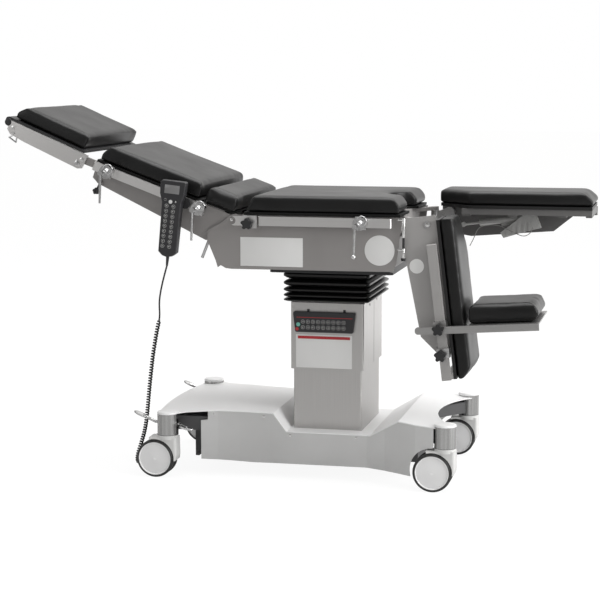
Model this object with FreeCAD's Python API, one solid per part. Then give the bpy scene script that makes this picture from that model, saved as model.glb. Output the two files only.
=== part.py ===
import FreeCAD, Part
import math
import os

from FreeCAD import Vector

# Operating table. Millimetres, +Z up, +X towards the foot end, -Y the side with the column keypad.
# The origin is on the floor under the axis of the lifting column.

# Fits
RUN = 0.05
SEAT = 0.3

# Table width, shared by every section
pad_half = 266.0
rail_proud = 11.0
side_inset = 14.0
rail_outer = pad_half + rail_proud
rail_t = 10.0
rail_h = 30.0
side_outer = pad_half - side_inset
side_t = 4.0
board_t = 8.0
spacer_r = 7.0

# Casters and wheels
wheel_r = 62.5
wheel_w = 60.0
web_t = 14.0
caster_trail = 38.0
caster_rear_x = -509.0
caster_front_x = 407.0
caster_y = 272.0
cup_r = 34.5
cup_z0 = 141.0
cup_z1 = 214.0
cup_far_rear_z1 = 226.0
stem_r = 14.0
axle_r = 6.0

# Base
chassis_x0 = -440.0
chassis_x1 = 300.0
chassis_half = 150.0
chassis_z0 = 60.0
chassis_z1 = 150.0
chassis_wall = 5.0
cover_t = 3.0
cover_rear_x = -562.0
cover_front_bay = 82.0
plateau_z = 219.0
plateau_front_z = 213.0
valley_z = 156.0
skirt_t = 4.0
skirt_inset = 1.0
skirt_rear_x = -404.0
skirt_notch_x = -382.0
pedal_z = 178.0
pedal_rod_r = 5.0

# Column
lower_x = 114.0
lower_y = 152.0
lower_top = 410.0
mid_x = 85.0
mid_y = 115.0
mid_z0 = 250.0
mid_z1 = 480.0
post_x = 60.0
post_y = 90.0
post_wall = 12.0
post_z0 = 320.0
sleeve_x = 121.6
sleeve_y = 160.0
sleeve_z0 = 355.0
sleeve_z1 = 574.0
sleeve_wall = 4.0
corner_r = 7.0

# Tilt mechanism
gimbal_z = 650.0
gimbal_pin_r = 12.0
head_plate_t = 10.0
head_ear_y0 = 60.0
head_ear_t = 18.0
head_ear_r = 24.0
table_ear_x0 = 84.0
table_ear_t = 14.0
table_ear_r = 22.0

# Bellows, from the top fold down; each fold is lower than the one above it
bellows_top = 680.0
bellows_bottom = 577.0
bellows_x = 144.0
bellows_y = 190.0
bellows_depth = 22.0
bellows_wall = 3.0
fold_count = 5
fold_shrink = 0.83

# Seat section
seat_x0 = -258.0
seat_x1 = 236.0
pad_end_x = 258.0
housing_z0 = 706.0
housing_wall = 3.0
board_z = 866.0
seat_pad_top = 925.0
rail_top = 862.0
flange_x0 = -172.0
flange_x1 = 229.0
flange_half = side_outer - 12.0
flange_z0 = 680.0
panel_z0 = 692.0
notch_r = 85.0

# Back section, drawn flat and turned up about its pivot
back_pivot_x = -286.0
back_pivot_z = 848.0
back_angle = 20.3
back_plate_gap = 8.0
back_plate_outer = side_outer - back_plate_gap
back_u0 = 122.0
back_u1 = 492.0
back_pad_top = 73.0
back_board_n = 12.0
rail_n0 = -17.0
pin_r = 10.0
lumbar_u0 = 4.0
lumbar_u1 = 114.0
lumbar_post_y = 120.0
lumbar_post_r = 8.0
lumbar_post_len = 112.0

# Head section, drawn flat on the end of the back section
head_u = 541.0
head_n = -1.0
head_angle = 2.7
head_len = 276.0
head_bar_inset = 2.0
head_bar_outer = pad_half - head_bar_inset
head_bar_t = 9.0
head_board_n = 21.0
head_pad_top = 78.0
head_pad_inset = 9.0
head_pad_half = pad_half - head_pad_inset
release_r = 4.0

# Leg sections, drawn flat and turned down about their pivots
leg_pivot_x = 340.0
leg_pivot_z = 844.0
near_drop = 83.0
leg_len = 493.0
leg_inner = 14.0
leg_bar_h = 20.0
leg_board_n = 31.0
leg_pad_n = 41.0
leg_pad_top = 85.0
knuckle_x = 290.0
knuckle_inset = 20.0
knuckle_y = side_outer - knuckle_inset
knuckle_r = 14.0
knuckle_arm_t = 12.0
knuckle_eye_r = 12.5
knuckle_pin_r = 8.0
knuckle_z0 = 812.0
knuckle_z1 = 850.0

# Foot plate on the dropped leg
foot_x = 472.0
foot_z = 536.0
foot_rise = 3.9
foot_len = 231.0
foot_pad_t = 58.0
foot_bar_h = 23.0
foot_bar_back = 162.0
foot_bar_proud = 22.0
foot_bar_outer = rail_outer + foot_bar_proud

# Clamps on the rails
clamp_boss_r = 22.0
clamp_bore_r = 8.0
clamp_lever = 92.0

# Handset
handset_x = -478.0
handset_z = 852.0
handset_len = 246.0
handset_top_w = 84.0
handset_end_w = 60.0
handset_d = 28.0
handset_proud = 19.0
handset_back_y = -rail_outer - handset_proud
handset_lean = 6.0

NEAR = -1
FAR = 1
SIDES = {"near": NEAR, "far": FAR}


def block(x0, x1, y0, y1, z0, z1):
    return Part.makeBox(x1 - x0, y1 - y0, z1 - z0, Vector(x0, y0, z0))


def rod(start, end, r):
    """A cylinder from one point to another."""
    line = end - start
    return Part.makeCylinder(r, line.Length, start, line)


def span(y0, y1, side):
    """The two Y limits on one side of the table, given as distances from the middle."""
    return min(side * y0, side * y1), max(side * y0, side * y1)


def prism_y(points, y0, y1):
    """A profile in X and Z, carried from y0 to y1."""
    wire = Part.makePolygon([Vector(x, y0, z) for x, z in points + points[:1]])
    return Part.Face(wire).extrude(Vector(0, y1 - y0, 0))


def prism_z(points, z0, z1):
    """An outline in X and Y, carried from z0 to z1."""
    wire = Part.makePolygon([Vector(x, y, z0) for x, y in points + points[:1]])
    return Part.Face(wire).extrude(Vector(0, 0, z1 - z0))


def prism_x(points, x0, x1):
    """A profile in Y and Z, carried from x0 to x1."""
    wire = Part.makePolygon([Vector(x0, y, z) for y, z in points + points[:1]])
    return Part.Face(wire).extrude(Vector(x1 - x0, 0, 0))


def edges_along(shape, axis, test=None):
    """Straight edges that run along one axis."""
    found = []
    for edge in shape.Edges:
        if len(edge.Vertexes) != 2:
            continue
        a, b = edge.Vertexes[0].Point, edge.Vertexes[1].Point
        line = b - a
        if abs(line.Length - edge.Length) > 0.001 or abs(line.dot(axis)) < 0.999 * line.Length:
            continue
        if test is None or test((a + b) * 0.5):
            found.append(edge)
    return found


AXIS_Y = Vector(0, 1, 0)
AXIS_Z = Vector(0, 0, 1)


def tube_box(half_x, half_y, z0, z1, r):
    """A standing block with rounded corners, centred on the column's axis."""
    shape = block(-half_x, half_x, -half_y, half_y, z0, z1)
    return shape.makeFillet(r, edges_along(shape, AXIS_Z))


def turned(shape, x, z, degrees):
    """The shape turned about a Y axis through x, z; positive lifts the head end of it."""
    out = shape.copy()
    out.rotate(Vector(x, 0, z), AXIS_Y, degrees)
    return out


def raise_back(shape):
    return turned(shape, back_pivot_x, back_pivot_z, back_angle)


head_x = back_pivot_x - head_u
head_z = back_pivot_z + head_n


def raise_head(shape):
    return raise_back(turned(shape, head_x, head_z, head_angle))


def drop_leg(shape, side):
    return turned(shape, leg_pivot_x, leg_pivot_z, near_drop) if side == NEAR else shape


def caster_x(end):
    return caster_rear_x if end == "rear" else caster_front_x


# Base


def cup_top(end, side):
    """The far rear cup stands proud of the cover."""
    return cup_far_rear_z1 if end == "rear" and side == FAR else cup_z1


def caster_cup(x, y, z1):
    """The housing round a caster's stem, with the chamber of the locking shaft above it."""
    cup = Part.makeCylinder(cup_r, z1 - cup_z0, Vector(x, y, cup_z0))
    return cup.makeFillet(2.5, [e for e in cup.Edges if abs(e.BoundBox.ZMax - z1) < 0.1
                                and abs(e.BoundBox.ZMin - z1) < 0.1])


def cup_hollow(x, y, open_sides):
    """What is cut out of a cup: the stem's bore and, at the pedals, a chamber with two slots."""
    bore = Part.makeCylinder(stem_r + RUN, 160 - cup_z0 + 10, Vector(x, y, cup_z0 - 10))
    if not open_sides:
        return bore
    chamber = Part.makeCylinder(cup_r - 6, 36, Vector(x, y, 160))
    slot = block(x - cup_r - 5, x + cup_r + 5, y - 9, y + 9, pedal_z - 15, pedal_z + 15)
    shaft = rod(Vector(x, y - cup_r + 2, pedal_z), Vector(x, y + cup_r - 2, pedal_z), 7 + RUN)
    return bore.fuse([chamber, slot, shaft])


def base_frame():
    """The welded chassis: a box under the column, a beam across each end and four caster cups."""
    box = block(chassis_x0, chassis_x1, -chassis_half, chassis_half, chassis_z0, chassis_z1)
    hollow = block(chassis_x0 + chassis_wall, chassis_x1 - chassis_wall, -chassis_half + chassis_wall,
                   chassis_half - chassis_wall, chassis_z0 + chassis_wall, chassis_z1 - chassis_wall)
    box = box.cut(hollow)
    rear = block(caster_rear_x - 17, chassis_x0 + 56, -caster_y + 38, caster_y - 38, chassis_z1, 196)
    rear_hollow = block(caster_rear_x - 12, chassis_x0 + 51, -caster_y + 60, caster_y - 60,
                        chassis_z1 + 5, 191)
    rear_leg = block(chassis_x0 - 12, chassis_x0, -chassis_half, chassis_half, 45, chassis_z1)
    front_x = chassis_x1
    outline = [(front_x - 60, -chassis_half), (front_x, -chassis_half + 30), (front_x, chassis_half - 30),
               (front_x - 60, chassis_half)]
    front = prism_z(outline, chassis_z1, 190)
    parts = [rear.cut(rear_hollow), rear_leg, front]
    for side in (NEAR, FAR):
        arm = prism_z([(front_x - 78, side * (chassis_half - 20)), (front_x, side * (chassis_half - 40)),
                       (caster_front_x - 5, side * (caster_y - 30)),
                       (caster_front_x - 30, side * (caster_y - 5))], chassis_z1, 188)
        parts.append(arm)
        for end in ("rear", "front"):
            parts.append(caster_cup(caster_x(end), side * caster_y, cup_top(end, side)))
    frame = box.fuse(parts)
    for side in (NEAR, FAR):
        for end in ("rear", "front"):
            frame = frame.cut(cup_hollow(caster_x(end), side * caster_y, end == "rear"))
    return frame.removeSplitter()


cover_profile = [(cover_rear_x - 10, 212.0), (-350.0, plateau_z), (-168.0, plateau_z - 4), (-124.0, valley_z),
                 (154.0, valley_z), (252.0, plateau_front_z), (caster_front_x + 24, 204.0)]

# Half the base's width along X: waisted in the middle, flared out to the front casters
waist = [(-450.0, 262.0), (-404.0, 247.0), (-350.0, 232.0), (-280.0, 223.0), (-178.0, 217.0), (145.0, 216.0),
         (205.0, 231.0), (255.0, 251.0), (310.0, 275.0), (caster_front_x - 33, 290.0)]


def cover_outline():
    """The cover from above: round at the rear, waisted, cut in a deep arc between the front casters."""
    front = caster_front_x + 22.0
    rear = [(caster_rear_x - 26, -caster_y - 14), (caster_rear_x + 30, -caster_y - 18)]
    ends = [(front - 20, -caster_y - 30), (front, -caster_y), (front, -caster_y + 22)]
    points = rear + [(x, -y) for x, y in waist] + ends
    near = [Vector(x, y, 0) for x, y in points]
    far = [Vector(p.x, -p.y, 0) for p in reversed(near)]
    edges = [Part.LineSegment(a, b).toShape() for a, b in zip(near, near[1:])]
    edges.append(Part.Arc(near[-1], Vector(front - cover_front_bay, 0, 0), far[0]).toShape())
    edges += [Part.LineSegment(a, b).toShape() for a, b in zip(far, far[1:])]
    edges.append(Part.Arc(far[-1], Vector(cover_rear_x, 0, 0), near[0]).toShape())
    return Part.Wire(edges)


def base_cover():
    """The folded top sheet, with the column standing in its valley."""
    under = [(x, z - cover_t) for x, z in reversed(cover_profile)]
    sheet = prism_y(cover_profile + under, -330, 330)
    plan = Part.Face(cover_outline()).extrude(Vector(0, 0, 260))
    sheet = sheet.common(plan)
    for side in (NEAR, FAR):
        for end in ("rear", "front"):
            clear = Part.makeCylinder(cup_r + SEAT, 200, Vector(caster_x(end), side * caster_y, 100))
            sheet = sheet.cut(clear)
    hole = block(-lower_x - SEAT, lower_x + SEAT, -lower_y - SEAT, lower_y + SEAT, 100, 300)
    sheet = sheet.cut(hole)
    return max(sheet.Solids, key=lambda s: s.Volume)


def base_skirt(side):
    """A side panel under the cover's edge, following the waist and cut round the front wheel."""
    front = caster_front_x - cup_r - 1.0
    drop = cover_t + SEAT
    top = [(x, z - drop) for x, z in cover_profile if skirt_notch_x < x < front]
    top = [(skirt_notch_x, plateau_z - drop - 1)] + top + [(front, 204.0)]
    wheel_x = caster_front_x - caster_trail
    arch_r = wheel_r + 14.0
    low = 41.0
    dx = math.sqrt(arch_r ** 2 - (wheel_r - low) ** 2)
    bottom = [(front, low), (wheel_x - dx, low), (137, 49), (-233, 48), (skirt_rear_x, 57)]
    rear = [(skirt_rear_x, 186), (skirt_notch_x, 188)]
    face = prism_y(top + bottom + rear, *span(180, 330, side))
    arch = rod(Vector(wheel_x, -400, wheel_r), Vector(wheel_x, 400, wheel_r), arch_r)
    gap = block(wheel_x, front + 50, -400, 400, 0, cup_z0 + 4)
    face = face.cut(arch).cut(gap)
    outer = [(x, side * (y - skirt_inset)) for x, y in waist]
    inner = [(x, side * (y - skirt_inset - skirt_t)) for x, y in reversed(waist)]
    panel = face.common(prism_z(outer + inner, 0, 260))
    panel = panel.cut(Part.makeCylinder(cup_r + SEAT, 200, Vector(caster_front_x, side * caster_y, 100)))
    return max(panel.Solids, key=lambda s: s.Volume)


def caster_fork(x, y):
    """The caster's casing: stem, swivel plate, hood behind the wheels and a web to the axle."""
    wheel_x = x - caster_trail
    stem = Part.makeCylinder(stem_r, 159 - cup_z0 + 8, Vector(x, y, cup_z0 - 8))
    top = cup_z0 - SEAT
    hood_half = wheel_w / 2 - 2
    plate = Part.makeCylinder(34.5, 14, Vector(x, y, top - 14))
    side_profile = [(wheel_x - 20, top - 8), (x + 34, top - 8), (x + 35, wheel_r + 10), (x + 30, wheel_r - 6),
                    (wheel_x + 20, wheel_r - 6), (wheel_x - 12, wheel_r), (wheel_x - 12, wheel_r + 20)]
    casing = prism_y(side_profile, y - hood_half, y + hood_half)
    casing = casing.makeFillet(9, edges_along(casing, AXIS_Z, lambda p: p.x > x + 20))
    body = plate.fuse([casing])
    for sign in (NEAR, FAR):
        inner = y + sign * web_t / 2
        outer = y + sign * 60
        body = body.cut(rod(Vector(wheel_x, inner, wheel_r), Vector(wheel_x, outer, wheel_r), wheel_r + 2))
    bore = rod(Vector(wheel_x, y - 40, wheel_r), Vector(wheel_x, y + 40, wheel_r), axle_r + RUN)
    return body.fuse(stem).cut(bore).removeSplitter()


def caster_wheel(x, y):
    """Twin wheels on one axle; each has a domed disc and a rounded tyre."""
    wheel_x = x - caster_trail
    inner = web_t / 2 + SEAT
    outer = wheel_w / 2
    profile = [(0, inner), (wheel_r - 4, inner), (wheel_r, inner + 5), (wheel_r, outer - 6),
               (wheel_r - 4, outer - 1), (wheel_r - 10, outer), (wheel_r - 12, outer - 3), (0, outer - 1)]
    halves = []
    for sign in (NEAR, FAR):
        points = [Vector(wheel_x + r, y + sign * w, wheel_r) for r, w in profile]
        face = Part.Face(Part.makePolygon(points + points[:1]))
        halves.append(face.revolve(Vector(wheel_x, y, wheel_r), AXIS_Y, 360))
    axle = rod(Vector(wheel_x, y - inner - 2, wheel_r), Vector(wheel_x, y + inner + 2, wheel_r), axle_r)
    return axle.fuse(halves).removeSplitter()


def pedal(side):
    """A rocker on the locking shaft: two bent arms and two oval treads."""
    x = caster_rear_x
    y = side * caster_y
    shaft = rod(Vector(x, y - cup_r + 3, pedal_z), Vector(x, y + cup_r - 3, pedal_z), 7)
    rear_end = Vector(x - 92, y + side * 4, pedal_z + 26)
    front_end = Vector(x + 70, y + side * 24, pedal_z - 10)
    rear_arm = rod(Vector(x, y, pedal_z), Vector(x - 44, y, pedal_z + 3), pedal_rod_r)
    rear_tip = rod(Vector(x - 43, y, pedal_z + 3), rear_end, pedal_rod_r)
    front_arm = rod(Vector(x, y, pedal_z), Vector(x + 42, y, pedal_z - 2), pedal_rod_r)
    front_tip = rod(Vector(x + 41, y, pedal_z - 2), front_end, pedal_rod_r)
    parts = [rear_arm, rear_tip, front_arm, front_tip]
    for tip, slope in ((rear_end, 24.0), (front_end, 12.0)):
        tread = Part.makeCylinder(17, 7, Vector(0, 0, -3.5))
        tread = tread.makeFillet(2.5, [e for e in tread.Edges if e.Curve.TypeId == "Part::GeomCircle"])
        matrix = FreeCAD.Matrix()
        matrix.scale(1.4, 0.85, 1.0)
        tread = tread.transformGeometry(matrix)
        tread.rotate(Vector(0, 0, 0), AXIS_Y, slope)
        tread.translate(tip)
        parts.append(tread)
    return shaft.fuse(parts)


# Column


def column_lower():
    """The fixed outer tube that stands on the chassis."""
    outer = tube_box(lower_x, lower_y, chassis_z1, lower_top, corner_r)
    foot = block(-lower_x + 2, lower_x - 2, -lower_y - 8, lower_y + 8, chassis_z1, chassis_z1 + 2.5)
    inner = block(-mid_x, mid_x, -mid_y, mid_y, chassis_z1 + 8, lower_top + 1)
    return outer.fuse(foot).cut(inner).removeSplitter()


def column_mid():
    """The middle stage, which rises half as far as the sleeve."""
    outer = block(-mid_x + RUN, mid_x - RUN, -mid_y + RUN, mid_y - RUN, mid_z0, mid_z1)
    inner = block(-post_x, post_x, -post_y, post_y, mid_z0 - 1, mid_z1 + 1)
    return outer.cut(inner)


def column_sleeve():
    """The cover tube with its inner post, which slides in the middle stage."""
    outer = tube_box(sleeve_x, sleeve_y, sleeve_z0, sleeve_z1, corner_r)
    inner = block(-sleeve_x + sleeve_wall, sleeve_x - sleeve_wall, -sleeve_y + sleeve_wall,
                  sleeve_y - sleeve_wall, sleeve_z0 - 1, sleeve_z1 - 10)
    post = block(-post_x + RUN, post_x - RUN, -post_y + RUN, post_y - RUN, post_z0, sleeve_z1 - 10)
    core = block(-post_x + post_wall, post_x - post_wall, -post_y + post_wall, post_y - post_wall,
                 post_z0 - 1, sleeve_z1 - 22)
    return outer.cut(inner).fuse(post.cut(core)).removeSplitter()


def column_head():
    """The head casting: a plate with two ears for the gimbal."""
    z0 = sleeve_z1
    plate = block(-100, 100, -130, 130, z0, z0 + head_plate_t)
    plate = plate.makeFillet(10, edges_along(plate, AXIS_Z))
    ears = []
    for side in (NEAR, FAR):
        y0, y1 = span(head_ear_y0, head_ear_y0 + head_ear_t, side)
        foot = [(-48, z0 + head_plate_t), (48, z0 + head_plate_t), (head_ear_r, gimbal_z),
                (-head_ear_r, gimbal_z)]
        ear = prism_y(foot, y0, y1)
        ear = ear.fuse(rod(Vector(0, y0, gimbal_z), Vector(0, y1, gimbal_z), head_ear_r))
        ears.append(ear)
    head = plate.fuse(ears)
    bore = rod(Vector(0, -200, gimbal_z), Vector(0, 200, gimbal_z), gimbal_pin_r + RUN)
    return head.cut(bore).removeSplitter()


def gimbal():
    """The cross: a pin along Y in the column head and a pin along X in the table frame."""
    body = block(-60, 60, -45, 45, gimbal_z - 24, gimbal_z + 24)
    body = body.makeFillet(8, edges_along(body, AXIS_Z))
    y_end = head_ear_y0 + head_ear_t + 2
    x_end = table_ear_x0 + table_ear_t + 1
    y_pin = rod(Vector(0, -y_end, gimbal_z), Vector(0, y_end, gimbal_z), gimbal_pin_r)
    x_pin = rod(Vector(-x_end, 0, gimbal_z), Vector(x_end, 0, gimbal_z), gimbal_pin_r)
    y_collar = rod(Vector(0, -head_ear_y0 + SEAT, gimbal_z), Vector(0, head_ear_y0 - SEAT, gimbal_z), 19)
    x_collar = rod(Vector(-table_ear_x0 + SEAT, 0, gimbal_z), Vector(table_ear_x0 - SEAT, 0, gimbal_z), 19)
    return body.fuse([y_pin, x_pin, y_collar, x_collar]).removeSplitter()


def rounded_ring(half_x, half_y, z, r):
    """A rounded rectangle as a wire at one height."""
    plate = block(-half_x, half_x, -half_y, half_y, z - 1, z)
    plate = plate.makeFillet(r, edges_along(plate, AXIS_Z))
    top = max(plate.Faces, key=lambda f: f.CenterOfMass.z)
    return top.OuterWire


def bellows_stack(shrink):
    """The folded wall as a loft through valleys and peaks."""
    total = sum(fold_shrink ** i for i in range(fold_count))
    pitch = (bellows_top - 8 - bellows_bottom - 8) / total
    wires = [rounded_ring(bellows_x - bellows_depth + 6 - shrink, bellows_y - bellows_depth + 6 - shrink,
                          bellows_top, 14)]
    z = bellows_top - 8
    for i in range(fold_count):
        step = pitch * fold_shrink ** i
        wires.append(rounded_ring(bellows_x - bellows_depth - shrink, bellows_y - bellows_depth - shrink,
                                  z, 12))
        wires.append(rounded_ring(bellows_x - shrink, bellows_y - shrink, z - step / 2, 24))
        z -= step
    wires.append(rounded_ring(bellows_x - bellows_depth - shrink, bellows_y - bellows_depth - shrink, z, 12))
    wires.append(rounded_ring(bellows_x - bellows_depth + 2 - shrink, bellows_y - bellows_depth + 2 - shrink,
                              bellows_bottom, 12))
    return Part.makeLoft(wires, True, True)


def bellows():
    outer = bellows_stack(0.0)
    inner = bellows_stack(bellows_wall)
    lid = block(-400, 400, -400, 400, bellows_bottom, bellows_top)
    return outer.cut(inner).common(lid)


def column_keypad():
    """The membrane keypad's raised housing on the column, narrower at its lower edge."""
    y = -sleeve_y
    outline = [(-112, 545), (96, 545), (88, 478), (-104, 478)]
    shell = prism_y(outline, y - 12, y)
    shell = shell.makeFillet(5, edges_along(shell, AXIS_Y))
    front = [e for e in shell.Edges if abs(e.BoundBox.YMax - (y - 12)) < 0.1]
    shell = shell.makeFillet(2.0, front)
    tabs = [block(x - 4, x + 4, y - 3, y, 544, 553) for x in (-62, 58)]
    return shell.fuse(tabs)


# Seat section


def knuckle_bracket(side, z0):
    """One of the four arms on the front wall of the seat housing that hold the leg knuckles."""
    arm = prism_z([(seat_x1, side * (knuckle_y - 102)), (seat_x1, side * (knuckle_y - 54)),
                   (knuckle_x - 9, side * (knuckle_y + 6)),
                   (knuckle_x + 6, side * (knuckle_y - 10))], z0, z0 + knuckle_arm_t)
    centre = Vector(knuckle_x, side * knuckle_y, z0)
    arm = arm.fuse(Part.makeCylinder(knuckle_eye_r, knuckle_arm_t, centre))
    return arm.cut(Part.makeCylinder(knuckle_pin_r + RUN, knuckle_arm_t, centre)).removeSplitter()


def seat_frame():
    """The closed housing under the seat with the ears of the lateral tilt, and the leg brackets."""
    half = side_outer - side_t - SEAT
    outer = block(seat_x0, seat_x1, -half, half, housing_z0, board_z)
    w = housing_wall
    hollow = block(seat_x0 + w, seat_x1 - w, -half + w, half - w, housing_z0 + w, board_z - w)
    frame = outer.cut(hollow)
    parts = []
    for sign in (-1, 1):
        x0, x1 = sorted((sign * table_ear_x0, sign * (table_ear_x0 + table_ear_t)))
        foot = [(-40, housing_z0 + 1), (40, housing_z0 + 1), (table_ear_r, gimbal_z),
                (-table_ear_r, gimbal_z)]
        ear = prism_x(foot, x0, x1)
        parts.append(ear.fuse(rod(Vector(x0, 0, gimbal_z), Vector(x1, 0, gimbal_z), table_ear_r)))
    frame = frame.fuse(parts)
    tilt_bore = rod(Vector(-150, 0, gimbal_z), Vector(150, 0, gimbal_z), gimbal_pin_r + RUN)
    frame = frame.cut(tilt_bore).removeSplitter()
    levels = (knuckle_z0 - SEAT - knuckle_arm_t, knuckle_z1 + SEAT)
    return Part.makeCompound([frame] + [knuckle_bracket(side, z0) for side in (NEAR, FAR) for z0 in levels])


def seat_side(side):
    """A side plate of the seat: its tail reaches back past the pivot of the back section."""
    z = panel_z0
    outline = [(-286, 864), (-300, 860), (-323, 841), (-374, 812), (-376, 779), (-369, 766), (-348, 716),
               (-341, z + 1),
               (-331, z + 8), (-314, z - 1), (-295, z - 3), (222, z), (232, z - 2), (244, 722),
               (262, rail_top + 2)]
    y0, y1 = span(side_outer - side_t, side_outer, side)
    plate = prism_y(outline, y0, y1)
    soft = edges_along(plate, AXIS_Y, lambda p: p.x < -340 and p.z > 700)
    plate = plate.makeFillet(6, soft)
    bore = rod(Vector(back_pivot_x, -400, back_pivot_z), Vector(back_pivot_x, 400, back_pivot_z), pin_r + RUN)
    return plate.cut(bore)


def seat_board():
    """The thin board under the seat pad, with the notch between the legs."""
    half = pad_half - 5
    z = board_z
    board = block(seat_x0 + 8, pad_end_x - 2, -half, half, z, z + board_t)
    return board.cut(Part.makeCylinder(notch_r + 4, 40, Vector(pad_end_x + 8, 0, z - 10)))


def seat_pad():
    z0 = board_z + board_t + SEAT
    profile = [(-253, z0), (pad_end_x - 2, z0), (pad_end_x, z0 + 24), (236, seat_pad_top),
               (-227, seat_pad_top)]
    pad = prism_y(profile, -pad_half, pad_half)
    pad = pad.cut(Part.makeCylinder(notch_r, 80, Vector(pad_end_x + 8, 0, z0 - 10)))
    top_edges = [e for e in pad.Edges if abs(e.BoundBox.ZMin - seat_pad_top) < 0.1
                 and e.BoundBox.YLength < 600
                 and e.BoundBox.XLength > 400]
    return pad.makeFillet(12, top_edges)


def rail(x0, x1, z0, side, spacer_in, spots):
    """A side rail with chamfered ends on round spacers."""
    y0, y1 = span(rail_outer - rail_t, rail_outer, side)
    bar = block(x0, x1, y0, y1, z0, z0 + rail_h)
    bar = bar.makeChamfer(3, [e for e in bar.Edges if e.BoundBox.XLength < 0.1 and e.BoundBox.ZLength > 1])
    parts = []
    for x in spots:
        mid = z0 + rail_h / 2
        parts.append(rod(Vector(x, side * spacer_in, mid), Vector(x, side * (rail_outer - rail_t), mid),
                         spacer_r))
    return bar.fuse(parts)


def seat_rails():
    rails = [rail(-199, 230.5, rail_top - rail_h, side, side_outer, (-170, 15, 200)) for side in (NEAR, FAR)]
    return Part.makeCompound(rails + [seat_bracket()])


def seat_flange():
    """The black frame under the seat housing that the bellows hangs from."""
    outer = block(flange_x0, flange_x1, -flange_half, flange_half, flange_z0, housing_z0)
    outer = outer.makeFillet(12, edges_along(outer, AXIS_Z))
    return outer.cut(block(-118, 118, -160, 160, flange_z0 - 1, housing_z0 + 1))


def seat_bracket():
    """The clamp plate at the rail's end that holds the star knob, with a rounded lug behind it."""
    y0, y1 = span(side_outer, rail_outer + 3, NEAR)
    plate = block(-252, -203, y0, y1, 824, 864)
    plate = plate.makeFillet(4, edges_along(plate, AXIS_Y))
    lug = block(-277, -252, y0, y0 + 12, 832, 862)
    lug = lug.fuse(rod(Vector(-277, y0, 847), Vector(-277, y0 + 12, 847), 15))
    lug = lug.cut(rod(Vector(back_pivot_x, y0 - 1, back_pivot_z),
                      Vector(back_pivot_x, y1 + 1, back_pivot_z), 13))
    return plate.fuse(lug).cut(rod(Vector(-233, y0 - 30, 839), Vector(-233, y0 + 16, 839), 5 + RUN))


def star_knob(x, y, z, r, reach):
    """A five-lobed knob on a stud that points into the table, for the near side."""
    disc = Part.makeCylinder(r * 0.72, 14, Vector(x, y, z), Vector(0, -1, 0))
    lobes = []
    for i in range(5):
        angle = math.radians(90 + 72 * i)
        cx, cz = x + math.cos(angle) * r * 0.68, z + math.sin(angle) * r * 0.68
        lobes.append(Part.makeCylinder(r * 0.32, 14, Vector(cx, y, cz), Vector(0, -1, 0)))
    stud = Part.makeCylinder(5, reach, Vector(x, y, z), AXIS_Y)
    neck = Part.makeCylinder(r * 0.4, 4, Vector(x, y + 4 - SEAT, z), Vector(0, -1, 0))
    return disc.fuse(lobes + [stud, neck])


# Back section, drawn flat: u runs from the pivot towards the head, n up from the pivot


def back_block(u0, u1, y0, y1, n0, n1):
    return block(back_pivot_x - u1, back_pivot_x - u0, y0, y1, back_pivot_z + n0, back_pivot_z + n1)


def back_outline(points):
    return [(back_pivot_x - u, back_pivot_z + n) for u, n in points]


def back_frame():
    """Two deep side plates with pivot bosses, joined by cross beams and a lumbar guide beam."""
    parts = []
    for side in (NEAR, FAR):
        y0, y1 = span(back_plate_outer - side_t, back_plate_outer, side)
        plate = prism_y(back_outline([(-14, 10), (495, 12), (494, -45), (470, -58), (66, -98), (40, -70),
                                      (-12, -14)]), y0, y1)
        y0, y1 = span(back_plate_outer - side_t, side_outer + 3, side)
        pin = rod(Vector(back_pivot_x, y0, back_pivot_z), Vector(back_pivot_x, y1, back_pivot_z), pin_r)
        y0, y1 = span(back_plate_outer - side_t, side_outer - side_t - SEAT, side)
        boss = rod(Vector(back_pivot_x, y0, back_pivot_z), Vector(back_pivot_x, y1, back_pivot_z), 18)
        y0, y1 = span(back_plate_outer - side_t, back_plate_outer + 8, side)
        lug = back_block(472, head_u, y0, y1, head_n - 13, head_n + 12)
        lug = lug.fuse(rod(Vector(head_x, y0, head_z), Vector(head_x, y1, head_z), 13))
        parts += [plate, pin, boss, lug]
    half = back_plate_outer - side_t / 2
    parts.append(back_block(128, 160, -half, half, -24, back_board_n))
    parts.append(back_block(448, 480, -half, half, -24, back_board_n))
    parts.append(back_block(36, 84, -half, half, -52, -28))
    frame = parts[0].fuse(parts[1:])
    frame = frame.cut(rod(Vector(head_x, -400, head_z), Vector(head_x, 400, head_z), pin_r - 2 + RUN))
    for side in (NEAR, FAR):
        x = back_pivot_x - 60
        hole = Part.makeCylinder(lumbar_post_r + RUN, 100, Vector(x, side * lumbar_post_y, back_pivot_z - 80))
        frame = frame.cut(hole)
    return raise_back(frame.removeSplitter())


def back_board():
    half = pad_half - 5
    return raise_back(back_block(back_u0, back_u1, -half, half, back_board_n, back_board_n + board_t))


def section_pad(x_low, x_top, x_top2, x_low2, half, z0, z1, r):
    """A pad from its four profile corners, with rounded upper side edges."""
    mid = z0 + (z1 - z0) * 0.45
    profile = [(x_low, z0), (x_low2, z0), (x_low2, mid), (x_top2, z1), (x_top, z1), (x_low, mid)]
    pad = prism_y(profile, -half, half)
    tops = [e for e in pad.Edges if abs(e.BoundBox.ZMin - z1) < 0.1 and e.BoundBox.YLength < 1]
    return pad.makeFillet(r, tops)


def back_pad():
    z0 = back_pivot_z + back_board_n + board_t + SEAT
    x = back_pivot_x
    return raise_back(section_pad(x - back_u1 + 2, x - 466, x - 132, x - 126, pad_half, z0,
                                  back_pivot_z + back_pad_top, 12))


def back_rails():
    spots = [back_pivot_x - u for u in (120, 290, 456)]
    z0 = back_pivot_z + rail_n0
    rails = [rail(back_pivot_x - 495, back_pivot_x - 95, z0, side, back_plate_outer, spots)
             for side in (NEAR, FAR)]
    return raise_back(Part.makeCompound(rails))


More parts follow.
